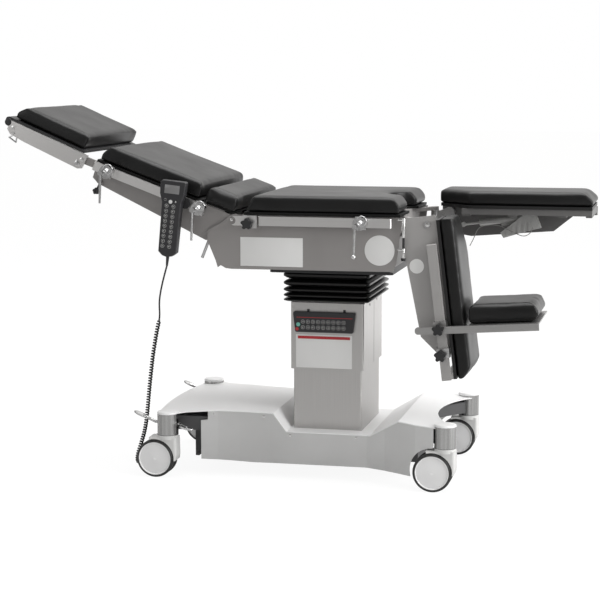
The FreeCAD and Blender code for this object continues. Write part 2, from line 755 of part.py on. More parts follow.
def lumbar_bridge():
    """The lifting board of the lumbar pad on two guide posts."""
    half = side_outer - side_t - 2
    board = back_block(lumbar_u0 + 8, lumbar_u1 - 3, -half, half, back_board_n + 2.5, back_board_n + board_t)
    posts = []
    for side in (NEAR, FAR):
        foot = Vector(back_pivot_x - 60, side * lumbar_post_y,
                      back_pivot_z + back_board_n + 4 - lumbar_post_len)
        posts.append(Part.makeCylinder(lumbar_post_r, lumbar_post_len, foot))
    return raise_back(board.fuse(posts).removeSplitter())


def lumbar_pad():
    z0 = back_pivot_z + back_board_n + board_t + SEAT
    x = back_pivot_x
    return raise_back(section_pad(x - lumbar_u1, x - lumbar_u1 + 5, x - lumbar_u0 - 5, x - lumbar_u0,
                                  pad_half, z0,
                                  back_pivot_z + back_pad_top, 12))


# Head section


def release_pivot():
    """The axis of the release handle, in the near side bar."""
    return head_x - 250, head_z - 14


def head_frame():
    """Two side bars on pivot pins, two cross tubes and a rounded end cap."""
    x, z = head_x, head_z
    parts = []
    for side in (NEAR, FAR):
        y0, y1 = span(head_bar_outer - head_bar_t, head_bar_outer, side)
        bar = prism_y([(x + 14, z + 20), (x - head_len, z + 21), (x - head_len, z - 10),
                       (x - head_len + 15, z - 22),
                       (x - 206, z - 27), (x - 5, z - 33), (x + 9, z - 27)], y0, y1)
        y0, y1 = span(back_plate_outer - 6, head_bar_outer, side)
        pin = rod(Vector(x, y0, z), Vector(x, y1, z), pin_r - 2)
        parts += [bar, pin]
    half = head_bar_outer - 2
    for u in (60, 236):
        parts.append(rod(Vector(x - u, -half, z), Vector(x - u, half, z), 11))
        parts.append(block(x - u - 11, x - u + 11, -half, half, z, z + 21))
    frame = parts[0].fuse(parts[1:])
    px, pz = release_pivot()
    frame = frame.cut(rod(Vector(px, -head_bar_outer - 5, pz), Vector(px, -head_bar_outer + 30, pz),
                          release_r + RUN))
    return raise_head(frame.removeSplitter())


def head_board():
    """The black board under the head pad, with its rounded end cap."""
    x, z = head_x, head_z + head_board_n
    board = block(x - head_len - 6, x - 4, -head_pad_half, head_pad_half, z, z + board_t)
    cap = rod(Vector(x - head_len - 8, -head_pad_half, z - 3),
              Vector(x - head_len - 8, head_pad_half, z - 3), 11)
    keep = block(x - head_len - 30, x - head_len - SEAT, -400, 400, z - 20, z + board_t)
    return raise_head(board.fuse(cap.common(keep)).removeSplitter())


def head_pad():
    z0 = head_z + head_board_n + board_t + SEAT
    return raise_head(section_pad(head_x - 273, head_x - 246, head_x - 9, head_x - 7, head_pad_half, z0,
                                  head_z + head_pad_top, 11))


def head_release():
    """The wire handle under the end of the head section that frees its latch."""
    x, z = release_pivot()
    y = -head_bar_outer + 34
    points = [Vector(x, y, z), Vector(x + 6, y, z - 32), Vector(x - 22, y, z - 26), Vector(x, y, z)]
    wire = [rod(a, b, 2.5) for a, b in zip(points, points[1:])]
    joints = [Part.makeSphere(2.5, p) for p in points[1:3]]
    shaft = rod(Vector(x, -head_bar_outer - 3, z), Vector(x, y + 12, z), release_r)
    return raise_head(shaft.fuse(wire + joints))


# Leg sections, drawn flat: v runs from the pivot towards the foot, n up from the pivot


def leg_block(v0, v1, y0, y1, n0, n1):
    return block(leg_pivot_x + v0, leg_pivot_x + v1, y0, y1, leg_pivot_z + n0, leg_pivot_z + n1)


def leg_frame(side):
    """The outer side plate, rail and inner bar of a leg, joined by cross tubes."""
    x, z = leg_pivot_x, leg_pivot_z
    y0, y1 = span(side_outer - side_t, side_outer, side)
    plate = prism_y([(x - 27, z - 66), (x + 72, z - 82), (x + 350, z - 60), (x + 414, z - 8),
                     (x + 414, z + leg_board_n), (x - 27, z + leg_board_n - 2)], y0, y1)
    parts = [plate]
    y0, y1 = span(leg_inner + 6, leg_inner + 16, side)
    bar = leg_block(70, leg_len - 2, y0, y1, leg_board_n - leg_bar_h, leg_board_n)
    parts.append(bar)
    for v in (84, 236, 396):
        y0, y1 = span(leg_inner + 8, side_outer - 2, side)
        parts.append(leg_block(v - 14, v + 14, y0, y1, 6, leg_board_n))
    end = leg_block(leg_len - 22, leg_len - 2, *span(leg_inner + 8, rail_outer - rail_t - 1, side), 6,
                    leg_board_n)
    parts.append(end)
    parts.append(rail(x + 60, x + leg_len, z - 5, side, side_outer - 1, [x + v for v in (90, 240, 390)]))
    frame = parts[0].fuse(parts[1:])
    bore = rod(Vector(x, -400, z), Vector(x, 400, z), pin_r + RUN)
    return drop_leg(frame.cut(bore).removeSplitter(), side)


def leg_outline(v0, v1, inner, outer):
    """A leg's plan, chamfered at the inner corner of the hip."""
    x = leg_pivot_x
    return [(x + v0, outer), (x + v1, outer), (x + v1, inner), (x + 92, inner), (x + v0, inner + 98)]


def leg_board(side):
    points = [(px, side * py) for px, py in leg_outline(-12, leg_len - 1, leg_inner + 2, pad_half - 3)]
    z = leg_pivot_z + leg_board_n
    return drop_leg(prism_z(points, z, z + leg_pad_n - leg_board_n - SEAT), side)


def leg_pad(side):
    points = [(px, side * py) for px, py in leg_outline(-22, leg_len + 8, leg_inner, pad_half)]
    z0, z1 = leg_pivot_z + leg_pad_n, leg_pivot_z + leg_pad_top
    pad = prism_z(points, z0, z1)
    x_end = leg_pivot_x + leg_len + 8
    slope = prism_y([(x_end - 32, z1 + 1), (x_end + 1, z1 + 1), (x_end + 1, z0 + 18)], -400, 400)
    pad = pad.cut(slope)
    tops = [e for e in pad.Edges if abs(e.BoundBox.ZMin - z1) < 0.1 and e.BoundBox.XLength > 300]
    return drop_leg(pad.makeFillet(10, tops), side)


def leg_knuckle(side):
    """The swivel between the seat and a leg: a standing pin in the seat's brackets and a lying one."""
    y = side * knuckle_y
    barrel = Part.makeCylinder(knuckle_r, knuckle_z1 - knuckle_z0, Vector(knuckle_x, y, knuckle_z0))
    pin = Part.makeCylinder(knuckle_pin_r, knuckle_z1 - knuckle_z0 + 24,
                            Vector(knuckle_x, y, knuckle_z0 - 12))
    y0, y1 = span(knuckle_y - 11, knuckle_y + 12, side)
    z = leg_pivot_z
    clear = knuckle_x + knuckle_r + 2
    arm = prism_y([(knuckle_x, knuckle_z0 + 2), (clear, knuckle_z0 + 2), (leg_pivot_x, z - 18),
                   (leg_pivot_x, z + 17), (clear, knuckle_z1 - 1), (knuckle_x, knuckle_z1 - 1)], y0, y1)
    eye = rod(Vector(leg_pivot_x, y0, z), Vector(leg_pivot_x, y1, z), 18)
    y0, y1 = span(knuckle_y - 11, side_outer + 3, side)
    drop_pin = rod(Vector(leg_pivot_x, y0, z), Vector(leg_pivot_x, y1, z), pin_r)
    collar = rod(Vector(leg_pivot_x, side * (knuckle_y + 12), z),
                 Vector(leg_pivot_x, side * (side_outer - side_t - SEAT), z), 16)
    return barrel.fuse([pin, arm, eye, drop_pin, collar]).removeSplitter()


def leg_strut(side):
    """The locking gas spring under a leg, with its end block and lower guide rod."""
    y = side * 130
    x, z = leg_pivot_x, leg_pivot_z
    a = Vector(x + 62, y, z - 32)
    b = Vector(x + 266, y, z - 5)
    line = b - a
    line.normalize()
    cylinder = rod(a + line * 54, b, 10.5)
    piston = rod(a, a + line * 56, 4)
    eye = rod(a + Vector(0, -7, 0), a + Vector(0, 7, 0), 8)
    sleeve = rod(a + line * 128 + Vector(0, 0, -15), b + Vector(0, 0, -15), 6)
    housing = prism_y([(x + 186, z - 56), (x + 197, z - 73), (x + 276, z - 48), (x + 319, z - 38),
                       (x + 302, z + 5),
                       (x + 262, z + 5)], *span(112, 148, side))
    ribs = []
    for i in range(5):
        u = x + 206 + 18 * i
        ribs.append(block(u, u + 6, *span(110, 150, side), z - 66 + 4.5 * i, z - 40 + 4.5 * i))
    hanger = leg_block(258, 290, *span(116, 144, side), 0, leg_board_n)
    shape = cylinder.fuse([piston, eye, sleeve, housing, hanger] + ribs)
    return drop_leg(shape.removeSplitter(), side)


# Foot plate on the near leg


def foot_turn(shape):
    return turned(shape, foot_x, foot_z, -foot_rise)


leg_slope = math.radians(near_drop)
leg_dir = Vector(math.cos(leg_slope), 0, -math.sin(leg_slope))
leg_normal = Vector(math.sin(leg_slope), 0, math.cos(leg_slope))


def on_leg(v, n):
    """A point of the dropped near leg, as x and z."""
    p = Vector(leg_pivot_x, 0, leg_pivot_z) + leg_dir * v + leg_normal * n
    return p.x, p.z


def rail_grip(v, half, y_far, grip):
    """A block that wraps the near leg's rail, drawn flat at v and dropped with the leg."""
    n0 = -5.0
    y_in = rail_outer - rail_t
    body = leg_block(v - half, v + half, -y_far, -y_in + 5, n0 - grip, n0 + rail_h + grip)
    c = SEAT
    slot = leg_block(v - half - 1, v + half + 1, -rail_outer - c, -y_in + 6, n0 - c, n0 + rail_h + c)
    lips = leg_block(v - half, v + half, -y_in + c, -y_in + 5, n0 - grip, n0 + rail_h + grip)
    mouth = leg_block(v - half - 1, v + half + 1, -y_in - 1, -y_in + 6, n0 + 5, n0 + rail_h - 5)
    return body.cut(slot).fuse(lips).cut(mouth).removeSplitter()


def foot_plate():
    """The bar, plate and clamp of the foot rest; the clamp rides on the leg's rail."""
    v = 322.0
    clamp = drop_leg(rail_grip(v, 19, foot_bar_outer - 10, 5), NEAR)
    clamp = clamp.cut(drop_leg(rod(Vector(leg_pivot_x + v + 4, -foot_bar_outer - 20, leg_pivot_z + 6),
                                   Vector(leg_pivot_x + v + 4, -rail_outer - 2, leg_pivot_z + 6), 5 + RUN),
                                   NEAR))
    x0 = foot_x - foot_bar_back
    bar = block(x0, foot_x + foot_len - 6, -foot_bar_outer, -foot_bar_outer + 10, foot_z - foot_bar_h,
                foot_z - SEAT)
    bar = bar.makeFillet(10, edges_along(bar, AXIS_Y, lambda p: p.x < x0 + 5))
    plate = block(foot_x + 6, foot_x + foot_len - 6, -foot_bar_outer, -leg_inner, foot_z - 5, foot_z - SEAT)
    rib = block(foot_x + 20, foot_x + foot_len - 60, -140, -130, foot_z - 22, foot_z - 4)
    arm = foot_turn(bar.fuse([plate, rib]))
    x, z = on_leg(v + 4, 6)
    arm = arm.cut(rod(Vector(x, -400, z), Vector(x, -280, z), 5 + RUN))
    return clamp.fuse(arm).removeSplitter()


def foot_pad():
    z1 = foot_z + foot_pad_t
    profile = [(foot_x, foot_z), (foot_x + foot_len - 18, foot_z), (foot_x + foot_len, foot_z + 20),
               (foot_x + foot_len - 14, z1), (foot_x, z1)]
    pad = prism_y(profile, -pad_half - 9, -leg_inner)
    tops = [e for e in pad.Edges if abs(e.BoundBox.ZMin - z1) < 0.1]
    return foot_turn(pad.makeFillet(11, tops))


def leg_clamp():
    """A second rail clamp lower on the near leg's rail."""
    v = 404.0
    grip = rail_grip(v, 15, rail_outer + 12, 5)
    hole = rod(Vector(leg_pivot_x + v + 6, -330, leg_pivot_z + 2),
               Vector(leg_pivot_x + v + 6, -280, leg_pivot_z + 2),
               5 + RUN)
    return drop_leg(grip.cut(hole), NEAR)


# Rail clamps with levers, drawn on a level rail at the origin of their own


def rail_clamp():
    """A clamp drawn round a rail whose middle is at the origin: hook, round boss and post bore."""
    h = rail_h / 2
    c = SEAT
    t = rail_t
    hook = block(-17, 17, -t - 7, 5, -h - 6, h + 6)
    hook = hook.cut(block(-18, 18, -t - c, c, -h - c, h + c))
    hook = hook.cut(block(-18, 18, -1, 6, -h + 5, h - 5))
    boss = rod(Vector(0, -t - 27, 0), Vector(0, -t - c, 0), clamp_boss_r)
    body = hook.fuse(boss)
    body = body.cut(rod(Vector(0, -t - 16, -60), Vector(0, -t - 16, 60), clamp_bore_r))
    return body.cut(rod(Vector(-13, -t - 40, -9), Vector(-13, -t - 8, -9), 4 + RUN)).removeSplitter()


def clamp_handle(ball):
    """The clamp's lever: hub, stem and a thin tapered arm, hanging down."""
    t = rail_t
    y0 = -t - 27 - SEAT
    hub = rod(Vector(-13, y0 - 13, -9), Vector(-13, y0, -9), 8)
    stem = rod(Vector(-13, y0 - 2, -9), Vector(-13, y0 + 16, -9), 4)
    top = Vector(-13, y0 - 7, -14)
    arm = Part.makeCone(4.5, 3.5, clamp_lever, top, Vector(-0.04, 0, -1))
    parts = [stem, arm]
    if ball:
        parts.append(Part.makeSphere(8, top + Vector(-0.04, 0, -1) * (clamp_lever - 2)))
    return hub.fuse(parts).removeSplitter()


def on_seat_rail(shape, x):
    out = shape.copy()
    out.translate(Vector(x, -rail_outer + rail_t, rail_top - rail_h / 2))
    return out


def on_back_rail(shape, u, hang):
    """Placed on the near back rail; a part that hangs is kept upright."""
    out = shape.copy()
    place = raise_back(Part.Vertex(back_pivot_x - u, -rail_outer + rail_t,
                                   back_pivot_z + rail_n0 + rail_h / 2)).Point
    if not hang:
        out.rotate(Vector(0, 0, 0), AXIS_Y, back_angle)
        out.translate(place)
        return out
    hub = Vector(-13, 0, -9)
    turned_hub = FreeCAD.Rotation(AXIS_Y, back_angle).multVec(hub)
    out.translate(place + turned_hub - hub)
    return out


# Handset and cord


def handset():
    """The hand control: a tapered shell with rounded corners and a domed lower end."""
    x, z = handset_x, handset_z
    top, end, half = handset_top_w / 2, handset_end_w / 2, handset_len / 2
    y = handset_back_y
    outline = [(x - top, z + half - 6), (x - top + 6, z + half), (x + top - 4, z + half),
               (x + top, z + half - 4),
               (x + top - 2, z + half - 44), (x + end + 2, z + half - 70), (x + end, z - half + 16),
               (x + end - 14, z - half + 4), (x, z - half), (x - end + 14, z - half + 4),
               (x - end, z - half + 16),
               (x - end - 2, z + half - 70), (x - top + 1, z + half - 44)]
    shell = prism_y(outline, y - handset_d, y)
    front = [e for e in shell.Edges if abs(e.BoundBox.YMax - (y - handset_d)) < 0.1]
    shell = shell.makeFillet(4, front)
    sleeve = Part.makeCone(5.5, 3.5, 30, Vector(x, y - handset_d / 2, z - half + 1), Vector(0, 0, -1))
    body = shell.fuse(sleeve)
    body.rotate(Vector(x, y, z), AXIS_Y, handset_lean)
    return body


cord_r = 2.3
coil_r = 6.5


def lead_top():
    """Where the cord leaves the handset's sleeve."""
    p = Vector(0, 0, -handset_len / 2 - 29)
    q = FreeCAD.Rotation(AXIS_Y, handset_lean).multVec(p)
    return Vector(handset_x + q.x, handset_back_y - handset_d / 2, handset_z + q.z)


start = lead_top()
lean = math.radians(handset_lean)
lead_down = Vector(-math.sin(lean), 0, -math.cos(lean))
lead_points = [start, start + lead_down * 44, start + Vector(-13, 10, -88), Vector(-526, -290, 568),
               Vector(-535, -284, 522)]
coil_points = [lead_points[-1], Vector(-543.1, -278.6, 480.6), Vector(-549, -276, 443),
               Vector(-557, -273, 404),
               Vector(-564, -268, 362), Vector(-571, -264, 316), Vector(-578, -258, 270),
               Vector(-585, -250, 224),
               Vector(-594, -239, 175), Vector(-607, -226, 129), Vector(-623, -216, 88),
               Vector(-637, -209, 50),
               Vector(-643, -193, 22), Vector(-634, -172, 15), Vector(-617, -154, 28), Vector(-602, -142, 58),
               Vector(-590, -134, 94), Vector(-581, -129, 129), Vector(-573, -128, 156),
               Vector(-560, -128, 172),
               Vector(-540, -128, 172)]
plug_len = 13.7


def rounded_path(points, label):
    """Straight runs joined by tangent arcs, each as large as its two runs allow."""
    edges = []
    last = points[0]
    for a, b, c in zip(points, points[1:], points[2:]):
        before, after = a - b, c - b
        turn = math.pi - before.getAngle(after)
        short = min(before.Length, after.Length)
        radius = 0.45 * short / math.tan(turn / 2)
        print(label, "turn", round(math.degrees(turn), 1), "radius", round(radius, 1))
        before.normalize()
        after.normalize()
        enter = b + before * 0.45 * short
        leave = b + after * 0.45 * short
        bisector = before + after
        bisector.normalize()
        middle = b + bisector * (radius / math.cos(turn / 2) - radius)
        edges.append(Part.LineSegment(last, enter).toShape())
        edges.append(Part.Arc(enter, middle, leave).toShape())
        last = leave
    edges.append(Part.LineSegment(last, points[-1]).toShape())
    return Part.Wire(edges)


def cord_tube(points, r, label):
    path = rounded_path(points, label)
    ring = Part.Wire(Part.Circle(points[0], points[1] - points[0], r).toShape())
    tube = path.makePipeShell([ring], True, False)
    print(label, "length", round(path.Length, 1), "volume ratio",
          round(tube.Volume / (math.pi * r * r * path.Length), 4))
    return tube


def handset_hook():
    """The round peg on the back rail that the handset hangs on."""
    place = raise_back(Part.Vertex(back_pivot_x - 158, -rail_outer,
                                   back_pivot_z + rail_n0 + rail_h / 2)).Point
    base = rod(place, place + Vector(0, -16, 0), 14)
    lip = rod(place + Vector(0, -14, 0), place + Vector(0, -19 + SEAT, 0), 17)
    return base.fuse(lip).removeSplitter()


def cord_plug():
    """The plug at the end of the curly cord, pushed into the rear beam of the base."""
    end = coil_points[-1]
    way = end - coil_points[-2]
    way.normalize()
    return rod(end, end + way * plug_len, 8)


def collect():
    """Every node of the table with its shape."""
    nodes = {"base_frame": base_frame(), "base_cover": base_cover(), "column_lower": column_lower(),
             "column_mid": column_mid(), "column_sleeve": Part.makeCompound([column_sleeve(), column_head()]),
             "column_keypad": column_keypad(), "gimbal": gimbal(), "bellows": bellows(),
             "seat_frame": seat_frame(), "seat_board": seat_board(), "seat_pad": seat_pad(),
             "seat_rails": seat_rails(), "seat_flange": seat_flange(),
             "back_frame": back_frame(), "back_board": back_board(), "back_pad": back_pad(),
             "back_rails": back_rails(), "lumbar_bridge": lumbar_bridge(), "lumbar_pad": lumbar_pad(),
             "head_frame": head_frame(), "head_board": head_board(), "head_pad": head_pad(),
             "head_release": head_release(), "foot_plate": foot_plate(), "foot_pad": foot_pad(),
             "leg_clamp": leg_clamp(), "handset": handset(), "handset_hook": handset_hook(),
             "cord_lead": cord_tube(lead_points, cord_r, "lead"),
             "cord_coil": cord_tube(coil_points, coil_r, "coil"),
             "cord_plug": cord_plug(),
             "base_skirts": Part.makeCompound([base_skirt(side) for side in (NEAR, FAR)]),
             "seat_sides": Part.makeCompound([seat_side(side) for side in (NEAR, FAR)])}
    for name, side in SIDES.items():
        nodes["pedal_" + name] = pedal(side)
        nodes["leg_knuckle_" + name] = leg_knuckle(side)
        nodes["leg_frame_" + name] = Part.makeCompound([leg_frame(side), leg_board(side)])
        nodes["leg_pad_" + name] = leg_pad(side)
        nodes["leg_strut_" + name] = leg_strut(side)
        for end in ("rear", "front"):
            nodes["fork_" + end + "_" + name] = caster_fork(caster_x(end), side * caster_y)
            nodes["wheel_" + end + "_" + name] = caster_wheel(caster_x(end), side * caster_y)
    clamps = {"seat": (lambda s, hang: on_seat_rail(s, 134.0)),
              "back": (lambda s, hang: on_back_rail(s, 112.0, hang)),
              "head": (lambda s, hang: on_back_rail(s, 440.0, hang))}
    for name, place in clamps.items():
        nodes["clamp_" + name] = place(rail_clamp(), False)
        nodes["lever_" + name] = place(clamp_handle(name == "seat"), True)
    nodes["knob_seat"] = star_knob(-233, -rail_outer - 3 - 4, 839, 19, 18)
    x, z = on_leg(326.0, 6.0)
    nodes["knob_foot"] = star_knob(x, -foot_bar_outer - 4, z, 19, 22)
    x, z = on_leg(410.0, 2.0)
    nodes["knob_leg"] = star_knob(x, -rail_outer - 16, z, 19, 12)
    return nodes


def main():
    os.makedirs("parts", exist_ok=True)
    nodes = collect()
    triangles = 0
    for name, shape in nodes.items():
        shape.exportStep(os.path.join("parts", name + ".step"))
        count = len(shape.tessellate(0.5)[1])
        triangles += count
        b = shape.BoundBox
        print(name, "solids", len(shape.Solids), "valid", shape.isValid(), "tri", count,
              [round(v, 1) for v in (b.XMin, b.XMax, b.YMin, b.YMax, b.ZMin, b.ZMax)])
    print("nodes", len(nodes), "triangles", triangles)


main()
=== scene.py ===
# %% [markdown]
# An operating table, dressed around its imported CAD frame. The frame's metal parts stay as they are and get
# materials. Everything soft, folded or coiled is modelled here, and so are the small plates, keys, screws
# and pins.

# %% Load the frame
import bpy
import math
from mathutils import Matrix, Vector


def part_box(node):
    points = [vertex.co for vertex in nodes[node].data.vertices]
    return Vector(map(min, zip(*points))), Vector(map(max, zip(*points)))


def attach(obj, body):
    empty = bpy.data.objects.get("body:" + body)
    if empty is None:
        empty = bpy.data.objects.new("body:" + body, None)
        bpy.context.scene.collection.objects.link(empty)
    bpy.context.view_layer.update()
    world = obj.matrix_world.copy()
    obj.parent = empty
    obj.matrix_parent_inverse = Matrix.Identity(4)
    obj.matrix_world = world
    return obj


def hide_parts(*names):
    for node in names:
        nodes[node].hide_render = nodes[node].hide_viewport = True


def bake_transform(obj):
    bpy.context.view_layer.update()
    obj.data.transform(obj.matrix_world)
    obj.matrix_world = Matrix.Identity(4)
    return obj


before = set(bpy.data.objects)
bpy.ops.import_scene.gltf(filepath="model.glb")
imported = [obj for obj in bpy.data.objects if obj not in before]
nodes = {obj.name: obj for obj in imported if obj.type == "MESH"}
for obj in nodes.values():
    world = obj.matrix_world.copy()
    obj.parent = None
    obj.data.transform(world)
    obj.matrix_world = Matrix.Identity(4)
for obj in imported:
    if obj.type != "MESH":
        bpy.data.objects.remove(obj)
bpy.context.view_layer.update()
scene = bpy.context.scene

# %% [markdown]
# Blender's operators act on whatever is selected, so every piece starts from an empty selection. A finished
# piece has its place in its mesh, with the object itself at the origin, as the CAD nodes have.

# %% Small helpers for working by hand
def deselect():
    if bpy.context.object and bpy.context.object.mode != "OBJECT":
        bpy.ops.object.mode_set(mode="OBJECT")
    bpy.ops.object.select_all(action="DESELECT")


def pick(obj):
    """Select one object and make it the active one."""
    deselect()
    obj.select_set(True)
    bpy.context.view_layer.objects.active = obj
    return obj


def settle(obj):
    """Put the object's place into its mesh."""
    pick(obj)
    bpy.ops.object.transform_apply(location=True, rotation=True, scale=True)
    return obj


def apply_all(obj):
    """Apply the modifiers from the top down."""
    pick(obj)
    for modifier in list(obj.modifiers):
        bpy.ops.object.modifier_apply(modifier=modifier.name)
    return obj


# %% [markdown]
# The photograph is taken from the near side with a long lens, from a little above the table's top.

# %% Camera
CAMERA_PLACE = (1.18523, -5.52054, 1.33560)
CAMERA_YAW = 0.23358
CAMERA_DROP = 0.13599
CAMERA_ROLL = -0.00156
LENS = 102.58

bpy.ops.object.camera_add(location=CAMERA_PLACE)
camera = bpy.context.object
aim = Matrix.Rotation(CAMERA_YAW, 3, "Z") @ Matrix.Rotation(math.pi / 2 - CAMERA_DROP, 3, "X")
camera.rotation_euler = (aim @ Matrix.Rotation(CAMERA_ROLL, 3, "Z")).to_euler()
camera.data.sensor_width = 36.0
camera.data.lens = LENS
camera.data.dof.use_dof = False
scene.camera = camera
print("camera lens", LENS)

# %% [markdown]
# The hand control hangs on a cord that is straight for a hand's length and then curly, down to the base.
# The route is drawn as one smooth spline, and the curls are wound round points read from that spline.

# %% Route of the cord
LEAD_ROUTE = [(-0.49387, -0.310, 0.70097), (-0.5035, -0.310, 0.668), (-0.5165, -0.303, 0.626),
              (-0.527, -0.295, 0.580), (-0.5265, -0.289, 0.536), (-0.531, -0.285, 0.517)]
COIL_ROUTE = [(-0.5415, -0.2786, 0.4806), (-0.549, -0.276, 0.443), (-0.557, -0.273, 0.404),
              (-0.564, -0.268, 0.362), (-0.571, -0.264, 0.316), (-0.578, -0.258, 0.270),
              (-0.585, -0.250, 0.224), (-0.594, -0.239, 0.175), (-0.607, -0.226, 0.129),
              (-0.623, -0.216, 0.088), (-0.637, -0.209, 0.050), (-0.643, -0.193, 0.022),
              (-0.634, -0.172, 0.015), (-0.617, -0.154, 0.028), (-0.602, -0.142, 0.058),
              (-0.590, -0.134, 0.094), (-0.581, -0.129, 0.129), (-0.573, -0.128, 0.156),
              (-0.560, -0.128, 0.172), (-0.540, -0.128, 0.172)]


def smooth_curve(name, points, thickness):
    """A NURBS spline with the points as its control points. The points' radius carries the thickness, so the
    curve's box is no wider than the cord."""
    data = bpy.data.curves.new(name, "CURVE")
    data.dimensions = "3D"
    spline = data.splines.new("NURBS")
    spline.points.add(len(points) - 1)
    for control, place in zip(spline.points, points):
        control.co = (*place, 1.0)
        control.radius = thickness / 2
    spline.order_u = 3
    spline.use_endpoint_u = True
    spline.resolution_u = 12
    data.bevel_depth = 1.0 if thickness else 0.0
    data.bevel_resolution = 2
    data.use_fill_caps = True
    curve = bpy.data.objects.new(name, data)
    scene.collection.objects.link(curve)
    return curve


def line_of(curve):
    """Points along a curve that has no bevel."""
    bpy.context.view_layer.update()
    mesh = bpy.data.meshes.new_from_object(curve)
    points = [vertex.co.copy() for vertex in mesh.vertices]
    bpy.data.meshes.remove(mesh)
    return points


guide = smooth_curve("cord_guide", LEAD_ROUTE + COIL_ROUTE, 0.0)
guide_line = line_of(guide)
bpy.data.objects.remove(guide)
print("route points", len(guide_line))

# %% Curls of the cord
CORD_THICK = 0.0058
CURL_RADIUS = 0.0047
CURL_PITCH = 0.0094
TURN_POINTS = 12
CURL_START_Z = 0.520
LEAD_STEP = 0.012


def resampled(points, step):
    """Evenly spaced places along a line, with the distance gone at each."""
    out = [(points[0], 0.0)]
    gone = 0.0
    due = step
    for a, b in zip(points, points[1:]):
        length = (b - a).length
        while length > 0 and due <= gone + length:
            out.append((a.lerp(b, (due - gone) / length), due))
            due += step
        gone += length
    out.append((points[-1], gone))
    return out


def curled(points):
    """The straight lead, then curls that open and close over their first and last turn."""
    split = next(i for i, p in enumerate(points) if p.z <= CURL_START_Z)
    places = resampled(points[split - 1:], CURL_PITCH / TURN_POINTS)
    total = places[-1][1]
    out = [place for place, gone in resampled(points[:split], LEAD_STEP)]
    side = Vector((0, 1, 0))
    for i, (place, gone) in enumerate(places[:-1]):
        ahead = (places[i + 1][0] - place).normalized()
        side = (side - ahead * side.dot(ahead)).normalized()
        up = ahead.cross(side)
        radius = CURL_RADIUS * min(1.0, gone / CURL_PITCH, (total - gone) / CURL_PITCH)
        angle = 2 * math.pi * i / TURN_POINTS
        out.append(place + (side * math.cos(angle) + up * math.sin(angle)) * radius)
    out.append(places[-1][0])
    print("straight points", split, "curly points", len(points) - split, "curls", round(total / CURL_PITCH))
    return out


cord_points = curled(guide_line)
cord = smooth_curve("hand_cord", cord_points, CORD_THICK)
cord.data.splines[0].resolution_u = 2
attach(cord, "base")
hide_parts("cord_lead", "cord_coil")

# %% [markdown]
# The photograph is a product picture on white: soft light from all sides and a faint shadow on the floor.
# The white is in the world's and the floor's own colour, seen only by camera rays, so it adds no light to
# the table.

# %% World
ROOM_TINT = (1.0, 0.99, 0.98, 1.0)
ROOM_BRIGHT_SIDE = (0.24, 0.34, 0.14)
ROOM_LEVEL = 0.58
world = bpy.data.worlds.new("studio")
scene.world = world
world.use_nodes = True
tree = world.node_tree
tree.nodes.clear()
output = tree.nodes.new("ShaderNodeOutputWorld")
mix = tree.nodes.new("ShaderNodeMixShader")
path = tree.nodes.new("ShaderNodeLightPath")
room = tree.nodes.new("ShaderNodeBackground")
room.inputs["Color"].default_value = ROOM_TINT
white = tree.nodes.new("ShaderNodeBackground")
white.inputs["Color"].default_value = (1.0, 1.0, 1.0, 1.0)
white.inputs["Strength"].default_value = 1.0
facing = tree.nodes.new("ShaderNodeTexCoord")
bright_side = tree.nodes.new("ShaderNodeVectorMath")
bright_side.operation = "DOT_PRODUCT"
bright_side.inputs[1].default_value = ROOM_BRIGHT_SIDE
level = tree.nodes.new("ShaderNodeMath")
level.operation = "ADD"
level.inputs[1].default_value = ROOM_LEVEL
tree.links.new(facing.outputs["Generated"], bright_side.inputs[0])
tree.links.new(bright_side.outputs["Value"], level.inputs[0])
tree.links.new(level.outputs["Value"], room.inputs["Strength"])
tree.links.new(path.outputs["Is Camera Ray"], mix.inputs["Fac"])
tree.links.new(room.outputs["Background"], mix.inputs[1])
tree.links.new(white.outputs["Background"], mix.inputs[2])
tree.links.new(mix.outputs["Shader"], output.inputs["Surface"])
scene.view_settings.view_transform = "Standard"
print("world ready")

# %% Floor
FLOOR_SIZE = 60.0
FLOOR_DROP = 0.0005
FLOOR_GREY = (0.55, 0.55, 0.55, 1.0)
FLOOR_GLOW = 1.15
FLOOR_GLOW_SHARE = 0.80
deselect()
bpy.ops.mesh.primitive_plane_add(size=FLOOR_SIZE, location=(0, 0, -FLOOR_DROP))
floor = settle(bpy.context.object)
floor.name = "floor"
paint = bpy.data.materials.new("floor_white")
paint.use_nodes = True
tree = paint.node_tree
tree.nodes.clear()
output = tree.nodes.new("ShaderNodeOutputMaterial")
dull = tree.nodes.new("ShaderNodeBsdfDiffuse")
dull.inputs["Color"].default_value = FLOOR_GREY
glow = tree.nodes.new("ShaderNodeEmission")
glow.inputs["Strength"].default_value = FLOOR_GLOW
mix = tree.nodes.new("ShaderNodeMixShader")
path = tree.nodes.new("ShaderNodeLightPath")
share = tree.nodes.new("ShaderNodeMath")
share.operation = "MULTIPLY"
share.inputs[1].default_value = FLOOR_GLOW_SHARE
tree.links.new(path.outputs["Is Camera Ray"], share.inputs[0])
tree.links.new(share.outputs["Value"], mix.inputs["Fac"])
tree.links.new(dull.outputs["BSDF"], mix.inputs[1])
tree.links.new(glow.outputs["Emission"], mix.inputs[2])
tree.links.new(mix.outputs["Shader"], output.inputs["Surface"])
floor.data.materials.append(paint)
print("floor ready")

# %% Lamps
def soft_lamp(name, place, target, size, power):
    """A large square lamp that faces a point."""
    deselect()
    bpy.ops.object.light_add(type="AREA", location=place)
    lamp = bpy.context.object
    lamp.name = name
    lamp.data.size = size
    lamp.data.energy = power
    lamp.rotation_euler = (Vector(target) - Vector(place)).to_track_quat("-Z", "Y").to_euler()
    return lamp


